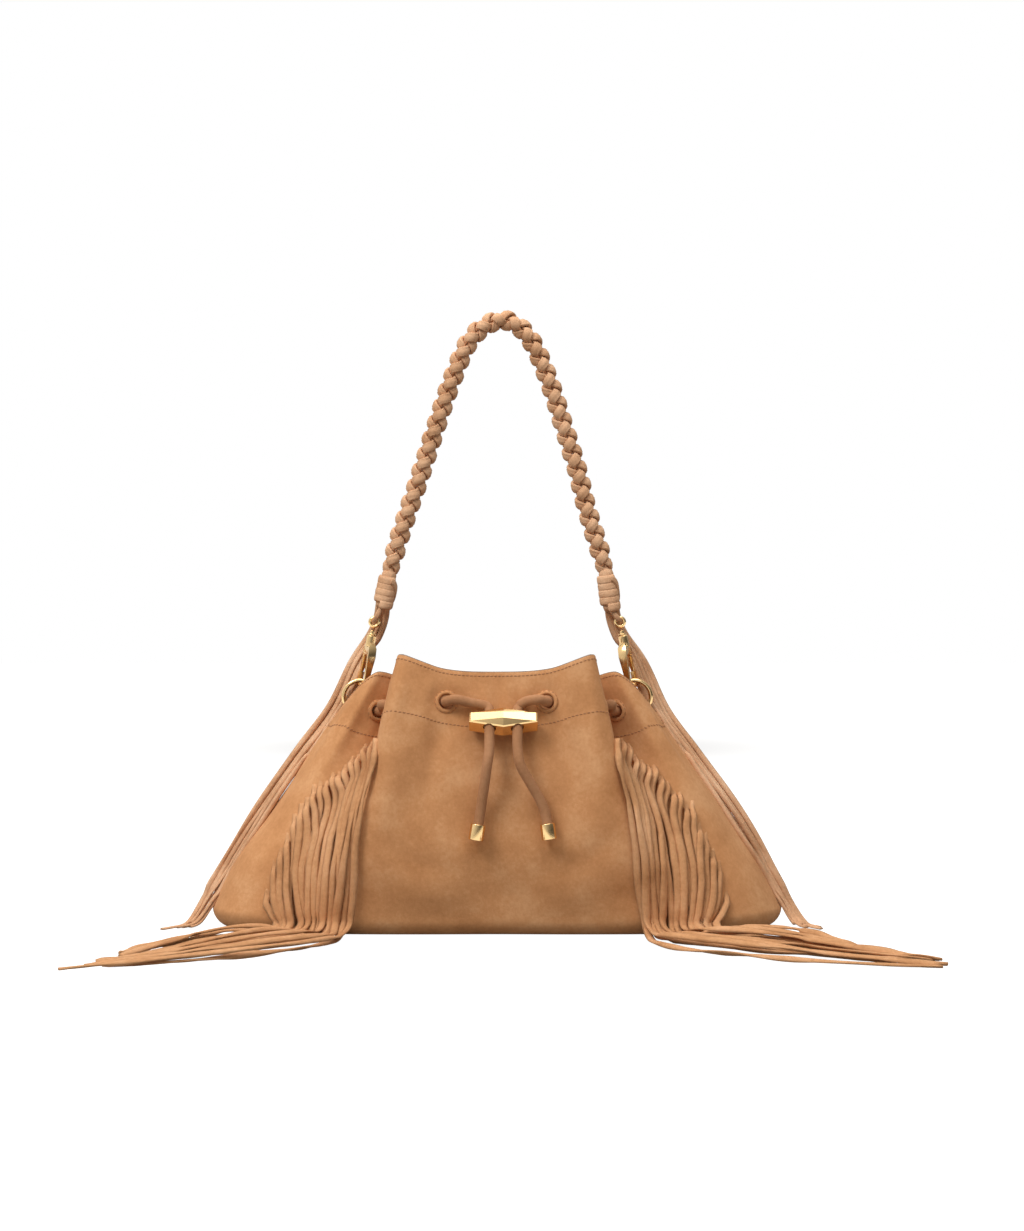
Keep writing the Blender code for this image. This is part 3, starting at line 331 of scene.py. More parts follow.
cordSet = {
    "radius": 0.0033, "sidesRound": 20, "steps": 620,
    "tail": {1: [(0.0338, -0.0795, 0.0655), (0.0304, -0.0785, 0.0845), (0.0152, -0.0826, 0.1130), (0.0136, -0.0804, 0.1220), (0.0135, -0.0783, 0.1316),
                 (0.0135, -0.0768, 0.1375), (0.0135, -0.0722, 0.1435), (0.0135, -0.0699, 0.1464), (0.0147, -0.0680, 0.1488)],
             -1: [(-0.0131, -0.0795, 0.0650), (-0.0100, -0.0785, 0.0840), (-0.0058, -0.0826, 0.1130), (-0.0046, -0.0804, 0.1220), (-0.0045, -0.0783, 0.1316),
                  (-0.0045, -0.0768, 0.1375), (-0.0045, -0.0722, 0.1435), (-0.0045, -0.0699, 0.1464), (-0.0057, -0.0680, 0.1488)]},
    "rim": [(0.0175, -0.0687, 0.1518), (0.0265, -0.0702, 0.1538), (0.0325, -0.0647, 0.1523), (0.0335, -0.0578, 0.1513),
            (0.0404, -0.0508, 0.1499), (0.0624, -0.0491, 0.1470), (0.0691, -0.0466, 0.1484), (0.0748, -0.0453, 0.1497),
            (0.0757, -0.0279, 0.1449), (0.0795, -0.0226, 0.1445), (0.0827, -0.0164, 0.1447), (0.0740, 0.0000, 0.1440),
            (0.0827, 0.0164, 0.1447), (0.0795, 0.0226, 0.1445), (0.0757, 0.0279, 0.1449), (0.0748, 0.0453, 0.1497),
            (0.0691, 0.0466, 0.1484), (0.0624, 0.0491, 0.1470), (0.0404, 0.0508, 0.1499), (0.0335, 0.0578, 0.1513),
            (0.0325, 0.0647, 0.1523), (0.0265, 0.0702, 0.1538)],
}


def cordRoute():
    half = {s: cordSet["tail"][s] + [(s * x, y, z) for x, y, z in cordSet["rim"]] for s in (1, -1)}
    return half[1] + half[-1][::-1]


def makeCord():
    # round cord of rolled suede, with the shallow groove where its edges meet
    path = smoothPath(cordRoute(), cordSet["steps"])
    along = directions(path)
    side = carried(along, (1, 0, 0))
    out = np.cross(along, side)
    section = []
    for k in range(cordSet["sidesRound"]):
        angle = 2 * math.pi * k / cordSet["sidesRound"]
        radius = cordSet["radius"] * (1 - 0.11 * math.exp(-((angle - 2.2) / 0.22) ** 2))
        section.append((radius * math.cos(angle), radius * math.sin(angle)))
    cord = addMesh("drawstringCord", *sweepBar(path, side, out, section)[:2], cordSuede, sweepBar(path, side, out, section)[2])
    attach(cord, "bag")
    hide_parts("drawstring")
    print("drawstring", round(pathLength(path), 3), "m")
    return cord, path


cord, cordPath = makeCord()


# Shell: one sewn suede bag with gathered mouth

shellSet = {
    "thick": 0.0024, "baseRadius": 0.012, "columns": 380, "rows": 74, "backDrop": 0.0045,
    # the same stations as the part, from the side seam to the front's middle, base to rim
    "stations": [
        [(0.192, 0.000, 0.012), (0.176, 0.000, 0.043), (0.153, 0.000, 0.077), (0.131, 0.000, 0.109), (0.106, 0.000, 0.1445)],
        [(0.170, -0.048, 0.012), (0.152, -0.046, 0.048), (0.125, -0.040, 0.090), (0.101, -0.032, 0.132), (0.080, -0.025, 0.170)],
        [(0.126, -0.063, 0.012), (0.112, -0.060, 0.048), (0.090, -0.046, 0.090), (0.071, -0.024, 0.130), (0.060, -0.014, 0.166)],
        [(0.098, -0.066, 0.012), (0.094, -0.071, 0.050), (0.080, -0.069, 0.095), (0.074, -0.064, 0.135), (0.064, -0.058, 0.182)],
        [(0.052, -0.067, 0.012), (0.050, -0.073, 0.050), (0.044, -0.071, 0.095), (0.038, -0.065, 0.135), (0.034, -0.060, 0.173)],
        [(0.000, -0.066, 0.012), (0.000, -0.072, 0.050), (0.000, -0.070, 0.095), (0.000, -0.065, 0.135), (0.000, -0.060, 0.171)]],
    "eyelets": {"front": ((0.0325, -0.0627, 0.1520), (0.004, -0.991, 0.131)),
                "fold": ((0.0701, -0.0464, 0.1485), (0.957, 0.221, 0.188)),
                "side": ((0.0790, -0.0235, 0.1445), (-0.468, -0.883, -0.023))},
    "hole": 0.0053,
    # soft folds of the front as (x, z) lines with height and half width, in metres
    "folds": [([(-0.030, 0.146), (-0.040, 0.120), (-0.046, 0.085)], -0.0016, 0.0070),
              ([(-0.018, 0.136), (-0.020, 0.110), (-0.016, 0.080)], 0.0012, 0.0080),
              ([(0.034, 0.144), (0.045, 0.118), (0.052, 0.080)], -0.0016, 0.0070),
              ([(0.020, 0.134), (0.024, 0.105), (0.020, 0.075)], 0.0012, 0.0080),
              ([(-0.052, 0.150), (-0.063, 0.115), (-0.072, 0.075)], 0.0014, 0.0080),
              ([(0.056, 0.148), (0.064, 0.112), (0.074, 0.072)], 0.0014, 0.0080),
              ([(-0.080, 0.070), (-0.055, 0.048), (-0.020, 0.042)], -0.0014, 0.0090),
              ([(0.082, 0.072), (0.060, 0.050), (0.024, 0.040)], -0.0014, 0.0090),
              ([(-0.100, 0.120), (-0.125, 0.085), (-0.150, 0.045)], -0.0018, 0.0100),
              ([(0.100, 0.120), (0.125, 0.085), (0.150, 0.045)], -0.0018, 0.0100),
              ([(-0.006, 0.120), (0.004, 0.090), (0.000, 0.060)], -0.0009, 0.0090)],
}


def wallStations():
    quarter = np.array(shellSet["stations"])
    front = np.concatenate((quarter, quarter[-2::-1] * (-1, 1, 1)))
    loop = np.concatenate((front, front[-2::-1] * (1, -1, 1)))
    chord = np.linalg.norm(np.diff(loop, axis=0), axis=2).mean(axis=1)
    return loop, np.concatenate(([0], np.cumsum(chord)))


def wallPoints(where, heights):
    # rows for height shares from 0 to 1, columns for places round the wall from the right seam along the front
    loop, knots = wallStations()
    rows = onCurve(loop.transpose(1, 0, 2), np.linspace(0, 1, loop.shape[1]), heights)
    padded = np.concatenate((knots[-3:-1] - knots[-1], knots, knots[1:3] + knots[-1]))
    wall = np.array([onCurve(np.concatenate((row[-3:-1], row, row[1:3])), padded, where) for row in rows])
    above = np.clip((np.asarray(heights)[:, None] - 0.90) / 0.10, 0, 1)
    wall[..., 2] -= shellSet["backDrop"] * above * np.clip(wall[..., 1] / 0.03, 0, 1)
    return wall


def wallNormals(where, heights):
    low, high = np.clip(np.array(heights) - 0.004, 0, 1), np.clip(np.array(heights) + 0.004, 0, 1)
    up = wallPoints(where, high) - wallPoints(where, low)
    around = wallPoints(np.array(where) + 0.0004, heights) - wallPoints(np.array(where) - 0.0004, heights)
    return unit(np.cross(up, around))


def stationPlace(station):
    knots = wallStations()[1]
    return float(np.interp(station, range(len(knots)), knots))


def nearLine(x, z, line):
    # distance from a fold's line and the share along it
    best, share = np.full(x.shape, 9.0), np.zeros(x.shape)
    count = len(line) - 1
    for i, (a, b) in enumerate(zip(line, line[1:])):
        dx, dz = b[0] - a[0], b[1] - a[1]
        u = np.clip(((x - a[0]) * dx + (z - a[1]) * dz) / (dx * dx + dz * dz), 0, 1)
        far = np.hypot(x - a[0] - u * dx, z - a[1] - u * dz)
        closer = far < best
        share = np.where(closer, (i + u) / count, share)
        best = np.where(closer, far, best)
    return best, share


def swell(points, heights, around):
    # how far the suede stands out of its smooth form
    x, y, z = points[..., 0], points[..., 1], points[..., 2]
    out = np.zeros(x.shape)
    for line, rise, wide in shellSet["folds"]:
        far, share = nearLine(x, z, line)
        out += rise * np.exp(-(far / wide) ** 2) * np.sin(math.pi * np.clip(share, 0.02, 0.98)) ** 0.6
    height = np.asarray(heights)[:, None]
    gather = np.exp(-((height - 0.80) / 0.16) ** 2)
    out += 0.00055 * gather * np.sin(around * 2 * math.pi / 0.0175 + 2.0 * np.sin(around * 40.0))
    soft = np.array([noise.noise(Vector((a * 22, b * 22, c * 16))) for a, b, c in points.reshape(-1, 3)]).reshape(x.shape)
    out += 0.0022 * soft
    for spot, _ in shellSet["eyelets"].values():
        for sx in (-1, 1):
            for sy in (-1, 1):
                far = np.sqrt((x - sx * spot[0]) ** 2 + (y - sy * spot[1]) ** 2 + (z - spot[2]) ** 2)
                out *= 1 - 0.92 * np.exp(-(far / 0.011) ** 4)
    out *= np.clip(height / 0.10, 0, 1) * (1 - 0.55 * np.clip((height - 0.9) / 0.1, 0, 1))
    return out


def makeShell():
    total = wallStations()[1][-1]
    columns = np.linspace(0, total, shellSet["columns"], endpoint=False)
    seams = np.array([d for s in (0.0, total / 2) for d in (s - 0.0018, s - 0.0011, s - 0.0005, s + 0.0005, s + 0.0011, s + 0.0018)])
    where = np.unique(np.round(np.mod(np.concatenate((columns, seams)), total), 7))
    heights = np.linspace(1, 0, shellSet["rows"])
    plain = wallPoints(where, heights)
    normal = wallNormals(where, heights)
    away = swell(plain, heights, where[None, :])
    seamFar = np.minimum(np.abs(where), np.minimum(np.abs(where - total / 2), np.abs(where - total)))
    seamDip = -0.0008 * np.exp(-(seamFar / 0.0009) ** 2) + 0.0003 * np.exp(-((seamFar - 0.0022) / 0.0012) ** 2)
    outer = plain + (away + seamDip[None, :])[..., None] * normal
    level = normal.copy()
    level[..., 2] *= np.clip(np.abs(np.linspace(-1, 1, len(heights)))[:, None] * -1 + 1, 0, 1) ** 0.3
    inner = outer - shellSet["thick"] * unit(level)
    radius, thick = shellSet["baseRadius"], shellSet["thick"]
    out = normal[-1].copy()
    out[:, 2] = 0
    out = unit(out)
    loops = [row for row in inner[::-1]]
    for degrees in (15, 35, 60, 90):
        angle = math.radians(degrees)
        loop = outer[-1] - out * (radius - (radius - thick) * math.cos(angle))
        loop[:, 2] = radius - (radius - thick) * math.sin(angle)
        loops.insert(0, loop)
    rimOut = outer[0] * 0.82 + inner[0] * 0.18 + (0, 0, 0.0005)
    rimIn = outer[0] * 0.18 + inner[0] * 0.82 + (0, 0, 0.0005)
    paintFrom = len(loops) - 1
    loops += [rimIn, rimOut]
    loops += [row for row in outer]
    for degrees in (12, 24, 36, 48, 60, 72, 90):
        angle = math.radians(degrees)
        loop = outer[-1] - out * (radius - radius * math.cos(angle))
        loop[:, 2] = radius - radius * math.sin(angle)
        loops.append(loop)
    count = len(where)
    vertices = np.concatenate(loops)
    faces = [(i * count + k, i * count + (k + 1) % count, (i + 1) * count + (k + 1) % count, (i + 1) * count + k)
             for i in range(len(loops) - 1) for k in range(count)]
    faces += [tuple(range(count)), tuple(range((len(loops) - 1) * count, len(loops) * count))]
    shell = addMesh("suedeShell", vertices, faces, shellSuede)
    shell.data.materials.append(edgePaint)
    for i in (paintFrom, paintFrom + 1, paintFrom + 2):
        for k in range(count):
            shell.data.polygons[i * count + k].material_index = 1
    skin = BVHTree.FromPolygons([Vector(v) for v in np.concatenate(outer)],
                                [(i * count + k, i * count + (k + 1) % count, (i + 1) * count + (k + 1) % count, (i + 1) * count + k)
                                 for i in range(len(heights) - 1) for k in range(count)])
    lining = BVHTree.FromPolygons([Vector(v) for v in np.concatenate(inner)],
                                  [(i * count + k, i * count + (k + 1) % count, (i + 1) * count + (k + 1) % count, (i + 1) * count + k)
                                   for i in range(len(heights) - 1) for k in range(count)])
    return shell, skin, lining


def eyeletSpots():
    found = []
    for kind, (spot, out) in shellSet["eyelets"].items():
        for sx in (-1, 1):
            for sy in (-1, 1):
                found.append((Vector(spot) * Vector((sx, sy, 1)), (Vector(out) * Vector((sx, sy, 1))).normalized(), kind))
    return found


def cutHoles(shell):
    pickNone()
    tools = []
    for spot, out, _ in eyeletSpots():
        bpy.ops.mesh.primitive_cylinder_add(vertices=28, radius=shellSet["hole"], depth=0.011)
        tool = bpy.context.object
        tool.data.transform(frameAt(spot, (0, 0, 1), out))
        tools.append(tool)
    pickNone()
    for tool in tools:
        tool.select_set(True)
    bpy.context.view_layer.objects.active = tools[0]
    bpy.ops.object.join()
    cutter = bpy.context.object
    step = shell.modifiers.new("holes", "BOOLEAN")
    step.operation = "DIFFERENCE"
    step.object = cutter
    step.solver = "EXACT"
    applyAll(shell)
    bpy.data.objects.remove(cutter)
    pickNone()


shell, skin, lining = makeShell()
cutHoles(shell)
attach(shell, "bag")
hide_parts("front_panel", "back_panel", "base_panel")
print("shell", len(shell.data.polygons), "faces")


# Eyelets: a turned suede ring sewn round each hole

eyeletSet = {"inner": 0.0046, "outer": 0.0077, "rise": 0.0016, "round": 40, "stitches": 16}


def onSkin(point, out, tree=None):
    hit = (tree or skin).ray_cast(point + 0.007 * out, -out, 0.016)
    return (hit[0], hit[1]) if hit[0] else (point, out)


def makeEyelets():
    vertices, faces, lines = [], [], []
    profile = [(0.0, -0.0030), (0.0, -0.0004), (0.10, 0.55), (0.32, 1.0), (0.62, 0.80), (0.88, 0.35), (1.0, -0.15), (0.75, -0.5), (0.30, -0.6)]
    for spot, out, kind in eyeletSpots():
        place = frameAt(spot, (0, 0, 1), out)
        start, ring = len(vertices), []
        for k in range(eyeletSet["round"]):
            angle = 2 * math.pi * k / eyeletSet["round"]
            for share, rise in profile:
                radius = eyeletSet["inner"] + share * (eyeletSet["outer"] - eyeletSet["inner"])
                over = place @ Vector((radius * math.cos(angle), radius * math.sin(angle), 0))
                base = onSkin(over, out)[0]
                lift = rise if abs(rise) < 0.01 and share == 0.0 else rise * eyeletSet["rise"]
                vertices.append(np.array(base + lift * out))
        count, turns = len(profile), eyeletSet["round"]
        faces += [(start + k * count + j, start + k * count + (j + 1) % count, start + (k + 1) % turns * count + (j + 1) % count,
                   start + (k + 1) % turns * count + j) for k in range(turns) for j in range(count)]
        for k in range(eyeletSet["stitches"]):
            angle = 2 * math.pi * (k + 0.5) / eyeletSet["stitches"]
            radius = eyeletSet["inner"] + 0.80 * (eyeletSet["outer"] - eyeletSet["inner"])
            at = place @ Vector((radius * math.cos(angle), radius * math.sin(angle), 0))
            run = place.to_3x3() @ Vector((-math.sin(angle), math.cos(angle), 0))
            lines.append((np.array(onSkin(at, out)[0] + 0.0005 * out), np.array(run), np.array(out)))
    rings = addMesh("eyeletRings", vertices, faces, shellSuede)
    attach(rings, "bag")
    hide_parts(*[f"eyelet_{f}_{s}_{k}" for f in ("front", "back") for s in sides for k in ("front", "fold", "side")])
    return lines


# Stitches: short, slightly sunk runs of thread, one shape copied along each seam

stitchSet = {"pitch": 0.0026, "length": 0.0020, "wide": 0.00042, "high": 0.00030,
             "rimDown": 0.0024, "channel": [(0, 0.965), (0.45, 0.86), (1, 0.765), (2, 0.735), (2.6, 0.775), (3, 0.805), (3.6, 0.80), (4, 0.775), (4.6, 0.755), (5, 0.750)]}


def sewStitches(name, spots):
    shape = [(-1.0, 0.25), (-0.6, 0.85), (0.0, 1.0), (0.6, 0.85), (1.0, 0.25)]
    vertices, faces = [], []
    for at, run, out in spots:
        run = unit(run - run.dot(out) * out)
        side = np.cross(run, out)
        start = len(vertices)
        for along, size in shape:
            for k in range(6):
                angle = math.pi * k / 3
                vertices.append(at + along * stitchSet["length"] / 2 * run + size * stitchSet["wide"] * math.cos(angle) * side
                                + (size * stitchSet["high"] * math.sin(angle) + 0.00006) * out)
        for i in range(len(shape) - 1):
            for k in range(6):
                a, b = start + i * 6 + k, start + i * 6 + (k + 1) % 6
                faces.append((a, b, b + 6, a + 6))
        faces += [tuple(start + k for k in range(6)), tuple(start + (len(shape) - 1) * 6 + k for k in range(6))]
    piece = addMesh(name, vertices, faces, thread)
    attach(piece, "bag")
    return piece


def seamSpots(heightAt, gap=0.0):
    # stitches all round the wall at a height share that depends on the station
    knots = wallStations()[1]
    total = knots[-1]
    where = np.linspace(0, total, 900, endpoint=False)
    station = np.interp(where, knots, range(len(knots)))
    folded = np.abs((station + 5) % 10 - 5)
    line = np.array([wallPoints([w], [heightAt(s)])[0, 0] for w, s in zip(where, folded)])
    reach = np.concatenate(([0], np.cumsum(np.linalg.norm(np.diff(line, axis=0), axis=1))))
    spots = []
    for d in np.arange(0.0012, reach[-1], stitchSet["pitch"]):
        w = float(np.interp(d, reach, where))
        s = float(np.interp(d, reach, folded))
        p = wallPoints([w], [heightAt(s)])[0, 0]
        n = Vector(wallNormals([w], [heightAt(s)])[0, 0])
        ahead = wallPoints([w + 0.0006], [heightAt(s)])[0, 0] - p
        if any((Vector(p) - spot).length < gap for spot, _, _ in eyeletList):
            continue
        base, face = onSkin(Vector(p), n)
        if face.dot(n) < 0:
            face = -face
        spots.append((np.array(base), unit(ahead), np.array(face)))
    return spots


def channelHeight(s):
    table = stitchSet["channel"]
    return float(onCurve([[h] for _, h in table], [p for p, _ in table], [s])[0][0])


eyeletList = eyeletSpots()
eyeletStitches = makeEyelets()
sewStitches("eyeletStitches", eyeletStitches)
rimHeights = {s: np.linalg.norm(np.diff(wallPoints([stationPlace(s)], [0.9, 1.0])[:, 0], axis=0)) / 0.1 for s in np.linspace(0, 5, 11)}
rimSpots = seamSpots(lambda s: 1 - stitchSet["rimDown"] / float(np.interp(s, list(rimHeights), list(rimHeights.values()))))
sewStitches("rimStitches", rimSpots)
sewStitches("channelStitches", seamSpots(channelHeight, 0.0092))
print("seams sewn")


# Front fringes: the panel is cut into strands below a slanting line

fringeSet = {
    "strands": 18, "width": 0.0056, "thick": 0.0016, "hanging": 44, "lying": 44,
    "line": [(0.0750, 0.1262), (0.0850, 0.1185), (0.1005, 0.1055), (0.1140, 0.0935), (0.1265, 0.0790), (0.1365, 0.0620),
             (0.1440, 0.0440), (0.1500, 0.0230)],
    "innerHang": [(0.0750, 0.1262), (0.0870, 0.0900), (0.0925, 0.0560), (0.0950, 0.0240), (0.0970, 0.0080)],
    "outerHang": [(0.1500, 0.0230), (0.1485, 0.0180), (0.1460, 0.0140), (0.1435, 0.0110), (0.1410, 0.0080)],
    "innerFloor": [(0.0985, -0.0870), (0.1040, -0.1180), (0.1190, -0.1440), (0.1440, -0.1600), (0.1880, -0.1800), (0.2500, -0.1960)],
    "outerFloor": [(0.1450, -0.0700), (0.1590, -0.0780), (0.1760, -0.0880), (0.1930, -0.1010), (0.2120, -0.1230), (0.2300, -0.1500)],
    "rightReach": 1.18,     # the right pile lies a little further out
}


def slitTop(share):
    line = np.array(fringeSet["line"])
    x = line[0, 0] * (1 - share) + line[-1, 0] * share
    return np.array((x, onCurve(line[:, 1:], line[:, 0], [x])[0, 0]))


def frontAt(x, z):
    hit = skin.ray_cast(Vector((x, -1, max(z, 0.0128))), Vector((0, 1, 0)))
    return (hit[0].y, np.array(hit[1])) if hit[0] else (-0.05, np.array((0, -1.0, 0)))


def wander(seed, reach, size):
    # a slow sideways drift along a strand
    return size * (noise.noise(Vector((seed * 5.3, reach * 9.0, 1.7))) + 0.5 * noise.noise(Vector((seed * 3.1, reach * 24.0, 6.2))))


def strandRoute(i, share, drop0, layer, reach):
    # down the wall from the slit's top, over the edge of the base and out over the floor
    top = slitTop(0.05 + 0.95 * share) - (0, drop0)
    fall = [np.array(a) * (1 - share) + np.array(b) * share for a, b in zip(fringeSet["innerHang"], fringeSet["outerHang"])]
    levels = np.array([p[1] for p in fall[::-1]])
    slide = np.array([p[0] for p in fall[::-1]])
    zs = np.concatenate(([top[1] + 0.009, top[1] + 0.004], np.linspace(top[1], 0.009, max(4, int(top[1] / 0.007)))))
    route, front = [], 1.0
    for k, z in enumerate(zs):
        drop = max(0.0, top[1] - z)
        x = float(np.interp(z, levels, slide)) if z < top[1] else top[0] - 0.10 * (z - top[1])
        x += wander(i, drop, 0.0042) * min(1.0, drop / 0.022)
        seen = min(frontAt(x + d, z)[0] for d in (-0.002, 0, 0.002))
        lift = -0.0024 if k == 0 else -0.0013 if k == 1 else 0.0013 + (0.0006 + layer) * min(1.0, drop / 0.018)
        front = min(front + 0.0022, seen - lift) if k > 1 else seen - lift
        route.append((x, front, z))
    for k in range(len(route) - 2, 1, -1):                      # a strand is taut over a hollow, it does not step forward
        route[k] = (route[k][0], min(route[k][1], route[k + 1][1] + 0.0026), route[k][2])
    floor = [np.array(a) * (1 - share) + np.array(b) * share for a, b in zip(fringeSet["innerFloor"], fringeSet["outerFloor"])]
    for k, (x, y) in enumerate(floor):
        u = k / (len(floor) - 1)
        x = 0.098 + (x - 0.098) * (1 + (reach - 1) * u)
        if k == 0:
            y = min(y, route[-1][1] - 0.006)
        side = wander(i + 40, u * 0.14, 0.0200) * (0.25 + 0.75 * u)
        route.append((x - 0.35 * side, y + side, 0.0012 + (layer * 2.6 + 0.0002) * math.sin(math.pi * min(1.0, 0.15 + 0.80 * u)) ** 1.1))
    return np.array(route)


def makeFringe(side, sign):
    vertices, faces, uvs, lengths = [], [], [], []
    count = fringeSet["strands"]
    local = random.Random(11 if sign > 0 else 23)
    for i in range(count):
        seed = i + (0 if sign > 0 else 70)
        share = i / (count - 1)
        layer = (0.0004, 0.0021, 0.0012, 0.0030)[(i * 3 + (0 if sign > 0 else 1)) % 4] + local.uniform(0, 0.0006)
        reach = (fringeSet["rightReach"] if sign > 0 else 1.0) * local.uniform(0.80, 1.0)
        path = smoothPath(strandRoute(seed, share, local.uniform(-0.0015, 0.0050), layer, reach), fringeSet["hanging"] + fringeSet["lying"])
        along = directions(path)
        down = np.clip((0.018 - path[:, 2]) / 0.014, 0, 1)
        faceDirs = []
        for k, (p, a, d) in enumerate(zip(path, along, down)):
            wall = frontAt(p[0], p[2])[1]
            wall = wall if wall[1] < 0 else -wall
            face = unit(wall * (1 - d) + np.array((0, 0, 1.0)) * d)
            face = unit(face - face.dot(a) * a)
            twist = 0.10 + 0.34 * noise.noise(Vector((seed * 3.7, k * 0.075, sign))) * (1 - d)
            twist += 1.5 * d * noise.noise(Vector((seed * 2.9, k * 0.10, 8.0)))
            faceDirs.append(np.array(Matrix.Rotation(twist, 3, Vector(a)) @ Vector(face)))
        faceDirs = np.array(faceDirs)
        faceDirs[1:-1] = unit(faceDirs[:-2] + 2 * faceDirs[1:-1] + faceDirs[2:])
        wide = unit(np.cross(along, faceDirs))
        own = fringeSet["width"] * local.uniform(0.86, 1.12)
        run = np.concatenate(([0], np.cumsum(np.linalg.norm(np.diff(path, axis=0), axis=1))))
        sections = []
        for k, r in enumerate(run):
            width = own * (0.90 + 0.10 * min(1.0, max(0.0, r - 0.016) / 0.012)) * (1 + 0.07 * math.sin(r * 90 + i))
            if r < 0.010:
                width = own * (1.0 - 0.026 * (r / 0.001))
            tip = min(1.0, (run[-1] - r) / 0.004)
            sections.append(bandSection(width * (0.72 + 0.28 * tip), fringeSet["thick"], 0.00035))
        path[:, 2] = np.maximum(path[:, 2], 0.0010 + 0.5 * own * np.abs(wide[:, 2]))
        more, strips, table = sweepBar(path, wide, faceDirs, sections, start=len(vertices))
        vertices += more
        faces += strips
        uvs += [(a + i * 1.7, b) for a, b in table]
        lengths.append(pathLength(path))
    vertices = [v * np.array((sign, 1, 1)) for v in vertices]
    piece = addMesh(f"fringe{side.title()}", vertices, faces, fringeSuede, uvs)
    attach(piece, "bag")
    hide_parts(f"fringe_{side}")


for side, sign in sides.items():
    makeFringe(side, sign)


# Handle: four soft strands plaited round each other

braidSet = {
    "line": [(-0.0733, 0.2350), (-0.0665, 0.2600), (-0.0540, 0.2970), (-0.0420, 0.3340), (-0.0300, 0.3690), (-0.0180, 0.3950),
             (-0.0065, 0.4050), (0.0040, 0.4080), (0.0140, 0.4040), (0.0230, 0.3940), (0.0350, 0.3670), (0.0450, 0.3360),
             (0.0540, 0.3070), (0.0610, 0.2790), (0.0700, 0.2500), (0.0737, 0.2360)],
    "turn": 0.0228, "steps": 22, "radius": 0.0034, "weave": 0.0021, "width": 0.0059, "thick": 0.0030,
    "creases": ((-0.30, 0.16), (0.34, 0.13)), "foot": {-1: (-0.0780, 0.2130), 1: (0.0770, 0.2110)},
}


def strandSection(width, thick, lean):
    # a soft folded strand: oval with lengthwise creases on its outer face
    section = []
    for k in range(18):
        angle = 2 * math.pi * k / 18
        w = width / 2 * math.copysign(abs(math.cos(angle)) ** 0.72, math.cos(angle))
        t = thick / 2 * math.copysign(abs(math.sin(angle)) ** 0.72, math.sin(angle))
        if t > 0:
            for place, deep in braidSet["creases"]:
                t -= thick * deep * math.exp(-((w / width - place - lean) / 0.07) ** 2)
        section.append((w, t))
    return section


def makeBraid():
    route = [(x, 0, z) for x, z in braidSet["line"]]
    length = pathLength(smoothPath(route, 400))
    turns = round(length / braidSet["turn"] * 2) / 2
    path = smoothPath(route, int(turns * braidSet["steps"]) + 1)
    along = directions(path)
    side = np.cross(along, (0, 1.0, 0))
    share = np.linspace(0, 1, len(path))
    angle = 2 * math.pi * turns * share
    closing = np.clip(0.45 + 0.55 * np.minimum(share, 1 - share) * turns * braidSet["turn"] / 0.009, 0, 1)
    vertices, faces, uvs = [], [], []
    for way in (1, -1):
        for start in (0, math.pi):
            theta = way * angle + start
            out = np.cos(theta)[:, None] * np.array((0, 1.0, 0)) + np.sin(theta)[:, None] * side
            lift = np.cos(2 * theta)
            radius = closing * (braidSet["radius"] + way * braidSet["weave"] * np.sign(lift) * np.abs(lift) ** 0.8)
            wobble = np.array([0.00022 * noise.noise(Vector((k * 0.19, way * 4 + start, 1))) for k in range(len(path))])
            line = path + (radius + wobble)[:, None] * out
            run = directions(line)
            thick = unit(out - (out * run).sum(axis=1)[:, None] * run)
            wide = np.cross(run, thick)
            sections = []
            for k, (s, o) in enumerate(zip(way * lift, closing)):
                swollen = 1 + 0.10 * s
                lean = 0.10 * noise.noise(Vector((k * 0.09, start * 3 + way, 5)))
                sections.append(strandSection(braidSet["width"] * swollen * (0.72 + 0.28 * o), braidSet["thick"] * (1 + 0.08 * s), lean))
            more, strips, table = sweepBar(line, wide, thick, sections, start=len(vertices))
            vertices += more
            faces += strips
            uvs += [(a + 2.3 * start + way, b) for a, b in table]
    braid = addMesh("plaitedHandle", vertices, faces, laceSuede, uvs)
    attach(braid, "handle")
    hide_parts("handle_braid")
    print("handle", round(length, 3), "m,", turns, "turns")
    return path


braidPath = makeBraid()


# Whippings: laps of flat lace round the ends of the handle, with one lap crossing them

wrapSet = {"radius": 0.0058, "laps": 4.2, "width": 0.0062, "thick": 0.0011, "rise": 0.0001, "tilt": 0.0010}


